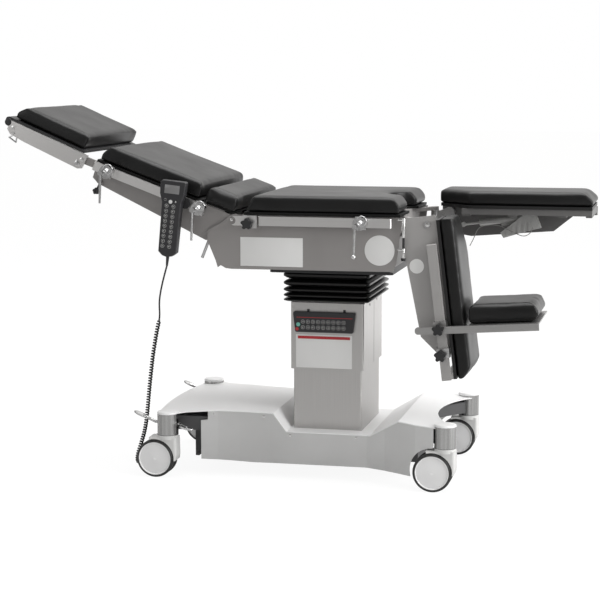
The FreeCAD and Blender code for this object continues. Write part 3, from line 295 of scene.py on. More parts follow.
soft_lamp("lamp_top", (0.3, 0.4, 3.4), (0, 0, 0.5), 3.0, 96)
soft_lamp("lamp_left", (-3.0, -3.0, 2.2), (0, 0, 0.6), 2.4, 24)
soft_lamp("lamp_right", (4.2, -1.2, 2.0), (0, 0, 0.5), 2.4, 150)
soft_lamp("lamp_card", (1.4, 4.5, 0.35), (1.4, 4.325, 1.35), 4.0, 44)

# %% [markdown]
# Shared effects are node groups: a fine speckle for moulded and painted surfaces, and a drawn-out grain for
# brushed steel. The grain group, made coarse and of strong light and dark contrast, also paints reflections
# on the chrome and on the caster cups. Both take a vector, so each part can turn the pattern to its own
# direction.

# %% Node group helpers
def new_group(name, inputs, outputs):
    group = bpy.data.node_groups.new(name, "ShaderNodeTree")
    for label, kind, value in inputs:
        socket = group.interface.new_socket(label, in_out="INPUT", socket_type=kind)
        if value is not None:
            socket.default_value = value
    for label, kind in outputs:
        group.interface.new_socket(label, in_out="OUTPUT", socket_type=kind)
    return group


def add_node(tree, kind, **settings):
    node = tree.nodes.new(kind)
    for key, value in settings.items():
        setattr(node, key, value)
    return node


def remap(tree, source, low, high):
    """A value from 0 to 1 taken to a narrower range."""
    node = add_node(tree, "ShaderNodeMapRange")
    node.inputs["To Min"].default_value = low
    node.inputs["To Max"].default_value = high
    tree.links.new(source, node.inputs["Value"])
    return node


# %% Speckle group
def speckle_group():
    group = new_group("speckle", [("Vector", "NodeSocketVector", None), ("Scale", "NodeSocketFloat", 600.0),
                                  ("Base", "NodeSocketColor", (0.5, 0.5, 0.5, 1)),
                                  ("Tint", "NodeSocketColor", (0.4, 0.4, 0.4, 1)),
                                  ("Rough", "NodeSocketFloat", 0.5)],
                      [("Color", "NodeSocketColor"), ("Roughness", "NodeSocketFloat"),
                       ("Height", "NodeSocketFloat")])
    enter = add_node(group, "NodeGroupInput")
    leave = add_node(group, "NodeGroupOutput")
    fine = add_node(group, "ShaderNodeTexNoise")
    fine.inputs["Detail"].default_value = 3.0
    group.links.new(enter.outputs["Vector"], fine.inputs["Vector"])
    group.links.new(enter.outputs["Scale"], fine.inputs["Scale"])
    broad = add_node(group, "ShaderNodeTexNoise")
    broad.inputs["Scale"].default_value = 7.0
    broad.inputs["Detail"].default_value = 4.0
    group.links.new(enter.outputs["Vector"], broad.inputs["Vector"])
    smudge = remap(group, broad.outputs["Fac"], -0.35, 1.0)
    blend = add_node(group, "ShaderNodeMix", data_type="RGBA")
    group.links.new(smudge.outputs["Result"], blend.inputs["Factor"])
    group.links.new(enter.outputs["Base"], blend.inputs["A"])
    group.links.new(enter.outputs["Tint"], blend.inputs["B"])
    group.links.new(blend.outputs["Result"], leave.inputs["Color"])
    spread = remap(group, broad.outputs["Fac"], -0.09, 0.09)
    add = add_node(group, "ShaderNodeMath", operation="ADD")
    group.links.new(enter.outputs["Rough"], add.inputs[0])
    group.links.new(spread.outputs["Result"], add.inputs[1])
    group.links.new(add.outputs["Value"], leave.inputs["Roughness"])
    group.links.new(fine.outputs["Fac"], leave.inputs["Height"])
    return group


SPECKLE = speckle_group()
print("group", SPECKLE.name)

# %% Brushed group
def brushed_group():
    group = new_group("brushed", [("Vector", "NodeSocketVector", None),
                                  ("Base", "NodeSocketColor", (0.6, 0.6, 0.6, 1)),
                                  ("Tint", "NodeSocketColor", (0.5, 0.5, 0.5, 1)),
                                  ("Rough", "NodeSocketFloat", 0.35)],
                      [("Color", "NodeSocketColor"), ("Roughness", "NodeSocketFloat"),
                       ("Height", "NodeSocketFloat")])
    enter = add_node(group, "NodeGroupInput")
    leave = add_node(group, "NodeGroupOutput")
    grain = add_node(group, "ShaderNodeTexNoise")
    grain.inputs["Scale"].default_value = 1.0
    grain.inputs["Detail"].default_value = 2.0
    group.links.new(enter.outputs["Vector"], grain.inputs["Vector"])
    blend = add_node(group, "ShaderNodeMix", data_type="RGBA")
    group.links.new(grain.outputs["Fac"], blend.inputs["Factor"])
    group.links.new(enter.outputs["Base"], blend.inputs["A"])
    group.links.new(enter.outputs["Tint"], blend.inputs["B"])
    group.links.new(blend.outputs["Result"], leave.inputs["Color"])
    spread = remap(group, grain.outputs["Fac"], -0.08, 0.08)
    add = add_node(group, "ShaderNodeMath", operation="ADD")
    group.links.new(enter.outputs["Rough"], add.inputs[0])
    group.links.new(spread.outputs["Result"], add.inputs[1])
    group.links.new(add.outputs["Value"], leave.inputs["Roughness"])
    group.links.new(grain.outputs["Fac"], leave.inputs["Height"])
    return group


GRAIN_AND_PAINTED_REFLECTION = brushed_group()
print("group", GRAIN_AND_PAINTED_REFLECTION.name)

# %% Material makers
SPECKLE_DEPTH = 0.0001
GRAIN_DEPTH = 0.00003
GRAIN_STRENGTH = 0.3


def start_material(name):
    """A material with its shader and the object's own coordinates."""
    material = bpy.data.materials.new(name)
    material.use_nodes = True
    tree = material.node_tree
    shader = tree.nodes["Principled BSDF"]
    coordinates = add_node(tree, "ShaderNodeTexCoord")
    mapping = add_node(tree, "ShaderNodeMapping")
    tree.links.new(coordinates.outputs["Object"], mapping.inputs["Vector"])
    return material, tree, shader, mapping


def bump_from(tree, height, shader, distance, strength):
    bump = add_node(tree, "ShaderNodeBump")
    bump.inputs["Distance"].default_value = distance
    bump.inputs["Strength"].default_value = strength
    tree.links.new(height, bump.inputs["Height"])
    tree.links.new(bump.outputs["Normal"], shader.inputs["Normal"])
    return bump


def speckled(name, base, tint, rough, scale=600.0, strength=0.25, metallic=0.0, specular=0.5):
    """Paint, plastic or rubber with a fine texture and a slow change of tone."""
    material, tree, shader, mapping = start_material(name)
    group = add_node(tree, "ShaderNodeGroup", node_tree=SPECKLE)
    group.inputs["Scale"].default_value = scale
    group.inputs["Base"].default_value = (*base, 1)
    group.inputs["Tint"].default_value = (*tint, 1)
    group.inputs["Rough"].default_value = rough
    tree.links.new(mapping.outputs["Vector"], group.inputs["Vector"])
    tree.links.new(group.outputs["Color"], shader.inputs["Base Color"])
    tree.links.new(group.outputs["Roughness"], shader.inputs["Roughness"])
    shader.inputs["Metallic"].default_value = metallic
    shader.inputs["Specular IOR Level"].default_value = specular
    bump_from(tree, group.outputs["Height"], shader, SPECKLE_DEPTH, strength)
    return material


def brushed(name, base, tint, rough, stretch, turn=0.0):
    """Brushed steel; with a coarse, high-contrast grain it paints reflections on polished steel. stretch is
    the grain's fineness along X, Y and Z, and turn leans it about Y.
    """
    material, tree, shader, mapping = start_material(name)
    mapping.inputs["Rotation"].default_value = (0, turn, 0)
    scaled = add_node(tree, "ShaderNodeVectorMath", operation="MULTIPLY")
    scaled.inputs[1].default_value = stretch
    tree.links.new(mapping.outputs["Vector"], scaled.inputs[0])
    group = add_node(tree, "ShaderNodeGroup", node_tree=GRAIN_AND_PAINTED_REFLECTION)
    group.inputs["Base"].default_value = (*base, 1)
    group.inputs["Tint"].default_value = (*tint, 1)
    group.inputs["Rough"].default_value = rough
    tree.links.new(scaled.outputs["Vector"], group.inputs["Vector"])
    tree.links.new(group.outputs["Color"], shader.inputs["Base Color"])
    tree.links.new(group.outputs["Roughness"], shader.inputs["Roughness"])
    shader.inputs["Metallic"].default_value = 1.0
    bump_from(tree, group.outputs["Height"], shader, GRAIN_DEPTH, GRAIN_STRENGTH)
    return material


def dress(material, *names):
    """Give a material to CAD nodes."""
    for name in names:
        mesh = nodes[name].data
        mesh.materials.clear()
        mesh.materials.append(material)


ALONG_X = (6.0, 700.0, 700.0)
ALONG_Z = (500.0, 500.0, 5.0)
BACK_LEAN = math.radians(20.3)
HEAD_LEAN = math.radians(23.0)
LEG_DROP = math.radians(83.0)
CORNERS = ("rear_near", "rear_far", "front_near", "front_far")
print("material makers ready")

# %% [markdown]
# The column and rails are stainless steel, brushed along their length. The section panels are steel with a
# fine grey texture paint, and the base has an off-white moulded cover.

# %% Steel
steel_column = brushed("steel_column", (0.56, 0.55, 0.54), (0.50, 0.49, 0.48), 0.38, ALONG_Z)
steel_seat_rail = brushed("steel_seat_rail", (0.76, 0.75, 0.74), (0.67, 0.66, 0.65), 0.34, ALONG_X)
steel_back_rail = brushed("steel_back_rail", (0.76, 0.75, 0.74), (0.67, 0.66, 0.65), 0.34, ALONG_X,
                          -BACK_LEAN)
steel_head_rail = brushed("steel_head_rail", (0.64, 0.63, 0.62), (0.56, 0.55, 0.54), 0.36, ALONG_X,
                          -HEAD_LEAN)
steel_turned = brushed("steel_turned", (0.58, 0.58, 0.58), (0.46, 0.46, 0.46), 0.30, (300.0, 300.0, 300.0))
dress(steel_column, "column_lower", "column_sleeve", "column_mid")
steel_foot = brushed("steel_foot", (0.43, 0.425, 0.42), (0.37, 0.365, 0.36), 0.36, ALONG_X)
dress(steel_seat_rail, "seat_rails")
dress(steel_foot, "foot_plate")
dress(steel_back_rail, "back_rails")
dress(steel_head_rail, "head_frame")
# The polished clamps, levers and pedals swing between near white and dark grey in coarse patches: painted
# reflections in the base colour.
chrome_painted_reflection = brushed("chrome_painted_reflection", (0.92, 0.92, 0.92), (0.36, 0.36, 0.36), 0.16, (85.0, 85.0, 85.0))
dress(chrome_painted_reflection, "clamp_seat", "clamp_back", "clamp_head", "lever_seat", "lever_back", "lever_head",
      "head_release", "pedal_near", "pedal_far")
dress(steel_turned, "gimbal", "leg_clamp", "leg_knuckle_near", "leg_knuckle_far")
print("steel nodes dressed")

# %% Paint and plastic
panel_grey = speckled("panel_grey", (0.270, 0.258, 0.252), (0.240, 0.230, 0.224), 0.44, 900.0)
cover_white = speckled("cover_white", (0.84, 0.84, 0.84), (0.80, 0.80, 0.80), 0.34, 500.0, strength=0.10)
skirt_steel = speckled("skirt_steel", (0.64, 0.64, 0.635), (0.57, 0.57, 0.565), 0.34, 700.0, strength=0.10,
                       metallic=0.85)
strut_grey = speckled("strut_grey", (0.46, 0.46, 0.45), (0.40, 0.40, 0.39), 0.42, 400.0, strength=0.1)
caster_white = speckled("caster_white", (0.68, 0.68, 0.67), (0.64, 0.64, 0.63), 0.36, 400.0, strength=0.1)
black_plastic = speckled("black_plastic", (0.012, 0.012, 0.013), (0.020, 0.020, 0.021), 0.45, 800.0)
black_board = speckled("black_board", (0.004, 0.004, 0.004), (0.007, 0.007, 0.007), 0.55, 500.0, specular=0.2)
keypad_black = speckled("keypad_black", (0.014, 0.014, 0.016), (0.022, 0.022, 0.024), 0.35, 900.0,
                        strength=0.1)
handset_shell = speckled("handset_shell", (0.016, 0.016, 0.018), (0.024, 0.024, 0.026), 0.48, 1200.0)
cord_black = speckled("cord_black", (0.012, 0.012, 0.012), (0.018, 0.018, 0.018), 0.42, 900.0)
dress(panel_grey, "seat_frame", "seat_sides", "back_frame")
dress(cover_white, "base_cover")
dress(skirt_steel, "base_skirts")
dress(caster_white, *["fork_" + corner for corner in CORNERS])
dress(black_plastic, "seat_flange", "head_board", "handset_hook", "cord_plug", "knob_seat", "knob_foot",
      "knob_leg")
dress(strut_grey, "leg_strut_near", "leg_strut_far")
dress(black_board, "seat_board", "back_board", "lumbar_bridge")
dress(keypad_black, "column_keypad")
dress(handset_shell, "handset")
cord.data.materials.append(cord_black)
print("painted nodes dressed")

# %% [markdown]
# Each leg's node holds the grey welded frame and the black board under its pad. The material tells them
# apart by the height above the leg's pivot, measured square to the leg.

# %% Legs
LEG_PIVOT = Vector((0.340, 0.0, 0.844))
LEG_BOARD_UP = 0.0309
LEG_BOARD_EDGE = 0.0002
LEG_BOARD_BLACK = (0.005, 0.005, 0.005, 1)


def leg_material(side, up, base, tint):
    material, tree, shader, mapping = start_material("leg_" + side)
    mapping.inputs["Location"].default_value = -LEG_PIVOT
    height = add_node(tree, "ShaderNodeVectorMath", operation="DOT_PRODUCT")
    height.inputs[1].default_value = up
    tree.links.new(mapping.outputs["Vector"], height.inputs[0])
    board = add_node(tree, "ShaderNodeMapRange")
    board.inputs["From Min"].default_value = LEG_BOARD_UP
    board.inputs["From Max"].default_value = LEG_BOARD_UP + LEG_BOARD_EDGE
    tree.links.new(height.outputs["Value"], board.inputs["Value"])
    paint = add_node(tree, "ShaderNodeGroup", node_tree=SPECKLE)
    paint.inputs["Scale"].default_value = 900.0
    paint.inputs["Base"].default_value = base
    paint.inputs["Tint"].default_value = tint
    paint.inputs["Rough"].default_value = 0.44
    tree.links.new(mapping.outputs["Vector"], paint.inputs["Vector"])
    mix = add_node(tree, "ShaderNodeMix", data_type="RGBA")
    mix.inputs["B"].default_value = LEG_BOARD_BLACK
    tree.links.new(board.outputs["Result"], mix.inputs["Factor"])
    tree.links.new(paint.outputs["Color"], mix.inputs["A"])
    tree.links.new(mix.outputs["Result"], shader.inputs["Base Color"])
    tree.links.new(paint.outputs["Roughness"], shader.inputs["Roughness"])
    bump_from(tree, paint.outputs["Height"], shader, SPECKLE_DEPTH, 0.25)
    return material


dress(leg_material("near", (math.sin(LEG_DROP), 0, math.cos(LEG_DROP)), (0.330, 0.322, 0.316, 1),
                   (0.290, 0.282, 0.276, 1)), "leg_frame_near")
# The far leg's paint is set far darker than the near leg's: painted shade on the leg that stands away from
# the light.
dress(leg_material("far", (0, 0, 1), (0.120, 0.118, 0.116, 1), (0.095, 0.093, 0.091, 1)), "leg_frame_far")
print("legs dressed")

# %% [markdown]
# The chassis is one node: dark paint on the beams and bare turned steel on the four caster cups. The material
# finds the cups by the distance from their axes, folded onto one quarter of the base. On the cups the colour
# runs in light and dark upright streaks round each axis: painted reflections on the round steel.

# %% Chassis and cups
CUP_MIDDLE_X = -0.051
CUP_HALF_X = 0.458
CUP_HALF_Y = 0.272
CUP_REACH = 0.0349
PAINT_REACH = 0.0352
REFLECTION_BAND_FINENESS = (95.0, 95.0, 0.0)


def chassis_material():
    material, tree, shader, mapping = start_material("chassis")
    mapping.inputs["Location"].default_value = (-CUP_MIDDLE_X, 0, 0)
    parts = add_node(tree, "ShaderNodeSeparateXYZ")
    tree.links.new(mapping.outputs["Vector"], parts.inputs["Vector"])
    flat = add_node(tree, "ShaderNodeCombineXYZ")
    for axis, half in (("X", CUP_HALF_X), ("Y", CUP_HALF_Y)):
        fold = add_node(tree, "ShaderNodeMath", operation="ABSOLUTE")
        tree.links.new(parts.outputs[axis], fold.inputs[0])
        centred = add_node(tree, "ShaderNodeMath", operation="SUBTRACT")
        centred.inputs[1].default_value = half
        tree.links.new(fold.outputs["Value"], centred.inputs[0])
        tree.links.new(centred.outputs["Value"], flat.inputs[axis])
    reach = add_node(tree, "ShaderNodeVectorMath", operation="LENGTH")
    tree.links.new(flat.outputs["Vector"], reach.inputs[0])
    cup = add_node(tree, "ShaderNodeMapRange")
    cup.inputs["From Min"].default_value = PAINT_REACH
    cup.inputs["From Max"].default_value = CUP_REACH
    tree.links.new(reach.outputs["Value"], cup.inputs["Value"])
    # Painted reflection: light and dark upright streaks round each cup's axis, in the base colour.
    around = add_node(tree, "ShaderNodeVectorMath", operation="MULTIPLY")
    around.inputs[1].default_value = REFLECTION_BAND_FINENESS
    tree.links.new(flat.outputs["Vector"], around.inputs[0])
    painted_reflection_bands = add_node(tree, "ShaderNodeGroup", node_tree=GRAIN_AND_PAINTED_REFLECTION)
    painted_reflection_bands.inputs["Base"].default_value = (0.66, 0.66, 0.65, 1)
    painted_reflection_bands.inputs["Tint"].default_value = (0.16, 0.16, 0.16, 1)
    painted_reflection_bands.inputs["Rough"].default_value = 0.26
    tree.links.new(around.outputs["Vector"], painted_reflection_bands.inputs["Vector"])
    paint = add_node(tree, "ShaderNodeGroup", node_tree=SPECKLE)
    paint.inputs["Base"].default_value = (0.085, 0.085, 0.087, 1)
    paint.inputs["Tint"].default_value = (0.065, 0.065, 0.067, 1)
    paint.inputs["Rough"].default_value = 0.55
    tree.links.new(mapping.outputs["Vector"], paint.inputs["Vector"])
    tone = add_node(tree, "ShaderNodeMix", data_type="RGBA")
    tree.links.new(cup.outputs["Result"], tone.inputs["Factor"])
    tree.links.new(paint.outputs["Color"], tone.inputs["A"])
    tree.links.new(painted_reflection_bands.outputs["Color"], tone.inputs["B"])
    tree.links.new(tone.outputs["Result"], shader.inputs["Base Color"])
    rough = add_node(tree, "ShaderNodeMix", data_type="FLOAT")
    tree.links.new(cup.outputs["Result"], rough.inputs["Factor"])
    tree.links.new(paint.outputs["Roughness"], rough.inputs["A"])
    tree.links.new(painted_reflection_bands.outputs["Roughness"], rough.inputs["B"])
    tree.links.new(rough.outputs["Result"], shader.inputs["Roughness"])
    tree.links.new(cup.outputs["Result"], shader.inputs["Metallic"])
    bump_from(tree, paint.outputs["Height"], shader, 0.00005, 0.15)
    return material


dress(chassis_material(), "base_frame")
print("chassis dressed")

# %% [markdown]
# A caster wheel is a pale disc with a thin dark tread. The two are one mesh, so the material tells them
# apart by the distance from the wheel's own axle.

# %% Wheels
DISC_REACH = 0.0535
TREAD_REACH = 0.0545
TREAD_BLACK = (0.025, 0.025, 0.025, 1)


def wheel_material(corner):
    low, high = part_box("wheel_" + corner)
    middle = (low + high) / 2
    material, tree, shader, mapping = start_material("wheel_" + corner)
    mapping.inputs["Location"].default_value = (-middle.x, 0, -middle.z)
    parts = add_node(tree, "ShaderNodeSeparateXYZ")
    tree.links.new(mapping.outputs["Vector"], parts.inputs["Vector"])
    flat = add_node(tree, "ShaderNodeCombineXYZ")
    tree.links.new(parts.outputs["X"], flat.inputs["X"])
    tree.links.new(parts.outputs["Z"], flat.inputs["Z"])
    radius = add_node(tree, "ShaderNodeVectorMath", operation="LENGTH")
    tree.links.new(flat.outputs["Vector"], radius.inputs[0])
    tread = add_node(tree, "ShaderNodeMapRange")
    tread.inputs["From Min"].default_value = DISC_REACH
    tread.inputs["From Max"].default_value = TREAD_REACH
    tree.links.new(radius.outputs["Value"], tread.inputs["Value"])
    grain = add_node(tree, "ShaderNodeGroup", node_tree=SPECKLE)
    grain.inputs["Base"].default_value = (0.84, 0.84, 0.84, 1)
    grain.inputs["Tint"].default_value = (0.78, 0.78, 0.78, 1)
    grain.inputs["Rough"].default_value = 0.42
    tree.links.new(mapping.outputs["Vector"], grain.inputs["Vector"])
    mix = add_node(tree, "ShaderNodeMix", data_type="RGBA")
    mix.inputs["B"].default_value = TREAD_BLACK
    tree.links.new(tread.outputs["Result"], mix.inputs["Factor"])
    tree.links.new(grain.outputs["Color"], mix.inputs["A"])
    tree.links.new(mix.outputs["Result"], shader.inputs["Base Color"])
    tree.links.new(grain.outputs["Roughness"], shader.inputs["Roughness"])
    bump_from(tree, grain.outputs["Height"], shader, SPECKLE_DEPTH, 0.2)
    return material


for corner in CORNERS:
    dress(wheel_material(corner), "wheel_" + corner)
print("wheels dressed")

# %% [markdown]
# Small things that the frame leaves out are made here as they would be at the bench: plates, rings,
# buttons, screws and rods. Each piece rides the body that it is fixed to.

# %% Makers of small parts
EDGE_ANGLE = math.radians(30.0)


def soft_edged(part, width):
    """A narrow bevel on the sharp edges, then smooth shading between them."""
    pick(part)
    if width:
        edge = part.modifiers.new("edge", "BEVEL")
        edge.width = width
        edge.segments = 2
        edge.limit_method = "ANGLE"
        apply_all(part)
    bpy.ops.object.shade_smooth_by_angle(angle=EDGE_ANGLE)
    return part


def box_part(place, size, edge=0.0, lean=0.0):
    """A block with soft edges. lean turns it about Y."""
    deselect()
    bpy.ops.mesh.primitive_cube_add(size=1.0, location=place)
    part = bpy.context.object
    part.scale = size
    part.rotation_euler = (0, lean, 0)
    return soft_edged(settle(part), edge)


def rod_part(start, end, radius, tip=None, sides=28, edge=0.0):
    """A rod or a cone between two points."""
    start, end = Vector(start), Vector(end)
    line = end - start
    deselect()
    bpy.ops.mesh.primitive_cone_add(vertices=sides, radius1=radius, radius2=radius if tip is None else tip,
                                    depth=line.length, location=(start + end) / 2)
    part = bpy.context.object
    part.rotation_euler = line.to_track_quat("Z", "Y").to_euler()
    return soft_edged(settle(part), edge)


def ring_part(place, radius, thick, facing=(0, -1, 0), sides=28):
    deselect()
    bpy.ops.mesh.primitive_torus_add(major_radius=radius, minor_radius=thick / 2, major_segments=sides,
                                     minor_segments=8, location=place,
                                     rotation=Vector(facing).to_track_quat("Z", "Y").to_euler())
    part = settle(bpy.context.object)
    bpy.ops.object.shade_smooth()
    return part


def one_piece(name, parts, body, material):
    """Join small parts to one named piece of one material."""
    pick(parts[0])
    for part in parts[1:]:
        part.select_set(True)
    if len(parts) > 1:
        bpy.ops.object.join()
    piece = bpy.context.object
    piece.name = name
    piece.data.name = name
    settle(piece)
    piece.data.materials.clear()
    piece.data.materials.append(material)
    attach(piece, body)
    return piece


print("part makers ready")

# %% Materials of small parts
print_grey = speckled("print_grey", (0.40, 0.40, 0.39), (0.34, 0.34, 0.33), 0.45, 900.0, strength=0.05)
plate_white = speckled("plate_white", (0.74, 0.74, 0.73), (0.70, 0.70, 0.69), 0.40, 900.0, strength=0.05)
plate_red = speckled("plate_red", (0.42, 0.025, 0.03), (0.36, 0.02, 0.025), 0.45, 900.0, strength=0.05)
key_green = speckled("key_green", (0.16, 0.46, 0.38), (0.12, 0.38, 0.32), 0.40, 900.0, strength=0.05)
key_white = speckled("key_white", (0.66, 0.66, 0.65), (0.60, 0.60, 0.59), 0.40, 900.0, strength=0.05)
screen_grey = speckled("screen_grey", (0.20, 0.20, 0.20), (0.17, 0.17, 0.17), 0.22, 900.0, strength=0.02)
line_dark = speckled("line_dark", (0.05, 0.05, 0.05), (0.03, 0.03, 0.03), 0.55, 900.0)
bright_steel = brushed("bright_steel", (0.80, 0.80, 0.79), (0.62, 0.62, 0.61), 0.24, (300.0, 300.0, 300.0))
cable_grey = speckled("cable_grey", (0.30, 0.30, 0.29), (0.24, 0.24, 0.23), 0.40, 900.0, metallic=0.5)
print("small materials ready")

# %% [markdown]
# The keypad has two rows of nine round keys with a plain arrow in each, a green key, a dark red one and a
# thin red line. Under it is a plain white plate with a red head.

# %% Keypad on the column
KEY_Y = -0.1720
KEY_FIRST_X = -0.078
KEY_STEP_X = 0.0169
KEY_ROWS = (0.5128, 0.4944)
KEYS_IN_ROW = 9
KEY_RADIUS = 0.0058
KEY_LINE = 0.0012
ARROW = 0.0022
ARROW_Y = KEY_Y - 0.0002
rings = []
for row, z in enumerate(KEY_ROWS):
    for i in range(KEYS_IN_ROW):
        x = KEY_FIRST_X + KEY_STEP_X * i
        rings.append(ring_part((x, KEY_Y, z), KEY_RADIUS, KEY_LINE))
        way = 1 if (i + row) % 2 else -1
        rings.append(rod_part((x - ARROW * way, ARROW_Y, z), (x + ARROW * way, ARROW_Y, z), ARROW, tip=0.0004,
                              sides=8))
one_piece("keypad_keys", rings, "sleeve", print_grey)
one_piece("keypad_green", [rod_part((-0.0935, KEY_Y + 0.001, 0.5034), (-0.0935, KEY_Y - 0.0014, 0.5034),
                                    0.0066, edge=0.0006)], "sleeve", key_green)
red_parts = [box_part((-0.006, KEY_Y - 0.0001, 0.5270), (0.186, 0.0006, 0.0016)),
             rod_part((-0.0975, KEY_Y + 0.001, 0.4885), (-0.0975, KEY_Y - 0.0010, 0.4885), 0.0056,
                      edge=0.0005)]
one_piece("keypad_red", red_parts, "sleeve", plate_red)
print("keypad ready")

# %% Plain plates
SLEEVE_Y = -0.1600
PANEL_Y = -0.2520
one_piece("column_plate", [box_part((-0.0104, SLEEVE_Y - 0.0004, 0.4145), (0.1864, 0.0010, 0.1090), 0.0002)],
          "sleeve", plate_white)
one_piece("column_plate_head", [box_part((-0.0104, SLEEVE_Y - 0.0010, 0.4600), (0.1740, 0.0004, 0.0095))],
          "sleeve", plate_red)
one_piece("seat_plate", [box_part((-0.1619, PANEL_Y - 0.0003, 0.7465), (0.2057, 0.0010, 0.0930), 0.0002)],
          "seat", plate_white)
one_piece("seat_disc", [rod_part((0.1895, PANEL_Y + 0.0004, 0.7593), (0.1895, PANEL_Y - 0.0008, 0.7593),
                                 0.0480, sides=64, edge=0.0002)], "seat", plate_white)
one_piece("leg_disc", [rod_part((0.3082, PANEL_Y + 0.0004, 0.7126), (0.3082, PANEL_Y - 0.0008, 0.7126),
                                0.0230, sides=48, edge=0.0002)], "leg_near", plate_white)
print("plates ready")

# %% Face of the hand control
HANDSET_PLACE = Vector((-0.478, -0.324, 0.852))
HANDSET_LEAN = math.radians(6.0)


def on_handset(x, z, lift=0.0):
    """A place on the front face, from the middle of the hand control."""
    return HANDSET_PLACE + Matrix.Rotation(HANDSET_LEAN, 3, "Y") @ Vector((x, -lift, z))


one_piece("handset_screen", [box_part(on_handset(-0.0014, 0.0955), (0.0495, 0.0012, 0.0275), 0.0004,
                                      HANDSET_LEAN)],
          "handset", screen_grey)
HANDSET_ROWS = 9
HANDSET_COLUMNS = (((-0.0147, 0.0417), (-0.0168, -0.0881)), ((0.0084, 0.0413), (0.0060, -0.0884)))
rings = []
for i in range(HANDSET_ROWS):
    share = i / (HANDSET_ROWS - 1)
    for top, bottom in HANDSET_COLUMNS:
        x = top[0] + (bottom[0] - top[0]) * share
        z = top[1] + (bottom[1] - top[1]) * share
        rings.append(ring_part(on_handset(x, z), 0.0056, 0.0012))
        rings.append(rod_part(on_handset(x - 0.002, z, 0.0002), on_handset(x + 0.002, z, 0.0002), 0.0022,
                              tip=0.0006, sides=8))
rings.append(ring_part(on_handset(-0.0209, 0.0610), 0.0036, 0.0008))
one_piece("handset_keys", rings, "handset", print_grey)
buttons = [rod_part(on_handset(-0.0026, 0.0557, -0.001), on_handset(-0.0026, 0.0557, 0.0012), 0.0062,
                    edge=0.0005),
           rod_part(on_handset(0.0145, 0.0574, -0.001), on_handset(0.0145, 0.0574, 0.0008), 0.0032, sides=3)]
one_piece("handset_buttons", buttons, "handset", key_white)
print("hand control ready")

# %% [markdown]
# Screws hold the side panels of the base, the sleeve and the head bars, and a thin seam runs down the sleeve.

# %% Screws and seams
SCREW_SUNK = 0.0008
SCREW_HIGH = 0.0016


def screw(place, facing, radius=0.0042):
    """A low round head, partly sunk."""
    place, facing = Vector(place), Vector(facing)
    return rod_part(place - facing * SCREW_SUNK, place + facing * SCREW_HIGH, radius, edge=0.0004, sides=20)


base_screws = [screw((-0.365, -0.2335, 0.2075), (-0.17, -0.985, 0)),
               screw((-0.199, -0.2170, 0.2020), (0, -1, 0)), screw((-0.111, -0.2155, 0.1430), (0, -1, 0)),
               screw((0.108, -0.2152, 0.1450), (0, -1, 0))]
one_piece("base_screws", base_screws, "base", bright_steel)
sleeve_screws = [screw((0.1217, -0.0568, 0.5593), (1, 0, 0)), screw((0.1217, 0.0655, 0.5620), (1, 0, 0))]
one_piece("sleeve_screws", sleeve_screws, "sleeve", steel_turned)
one_piece("sleeve_seam", [box_part((0.1216, 0.0139, 0.4645), (0.0006, 0.0012, 0.216))], "sleeve",
          line_dark)
head_screws = [screw((-1.0303, -0.2645, 1.1376), (0, -1, 0), 0.0065),
               screw((-0.7946, -0.2645, 1.0359), (0, -1, 0), 0.0065)]
one_piece("head_screws", head_screws, "head", bright_steel)
print("screws ready")

# %% [markdown]
# The clamps are polished. Each has a standing eye ring and a short cone on the face of its boss.

# %% Clamp trim
CLAMP_FACE_Y = -0.3042


def clamp_trim(place):
    """A ring and a cone on the face of a clamp's boss."""
    x, z = place
    return [ring_part((x + 0.007, CLAMP_FACE_Y + 0.001, z + 0.009), 0.0150, 0.0040, sides=40),
            rod_part((x + 0.0055, CLAMP_FACE_Y + 0.001, z + 0.005),
                     (x + 0.002, CLAMP_FACE_Y - 0.010, z + 0.002), 0.0090, tip=0.0065, sides=40, edge=0.0012)]


boxes = {name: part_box(name) for name in ("clamp_seat", "clamp_back", "clamp_head")}
middles = {name: ((low.x + high.x) / 2, (low.z + high.z) / 2) for name, (low, high) in boxes.items()}
one_piece("clamp_trim_seat", clamp_trim(middles["clamp_seat"]), "seat", chrome_painted_reflection)
one_piece("clamp_trim_back", clamp_trim(middles["clamp_back"]) + clamp_trim(middles["clamp_head"]), "back",
          chrome_painted_reflection)
print("clamp trim at", {name: tuple(round(v, 3) for v in place) for name, place in middles.items()})

# %% [markdown]
# White caps close the caster cups, and a dark gap shows between each cup and its fork.

# %% Caps and gaps of the casters
CUP_PLACES = [(CUP_MIDDLE_X + sx * CUP_HALF_X, sy * CUP_HALF_Y) for sx in (-1, 1) for sy in (-1, 1)]
CUP_TOPS = (0.214, 0.226, 0.214, 0.214)
CUP_LOW = 0.1410
CUP_RADIUS = 0.0345
caps = []
gaps = []
for (x, y), top in zip(CUP_PLACES, CUP_TOPS):
    caps.append(rod_part((x, y, top - 0.004), (x, y, top + 0.0030), CUP_RADIUS + 0.0012,
                         tip=CUP_RADIUS - 0.001, sides=64, edge=0.0012))
    gaps.append(ring_part((x, y, CUP_LOW), CUP_RADIUS - 0.0012, 0.0030, facing=(0, 0, 1), sides=64))
one_piece("cup_caps", caps, "base", cover_white)
one_piece("cup_gaps", gaps, "base", line_dark)
print("cups", len(CUP_PLACES))

# %% [markdown]
# A stop rod with a black foot stands between the seat's side and the dropped leg, and small pins and a knob
# show at the hinges.

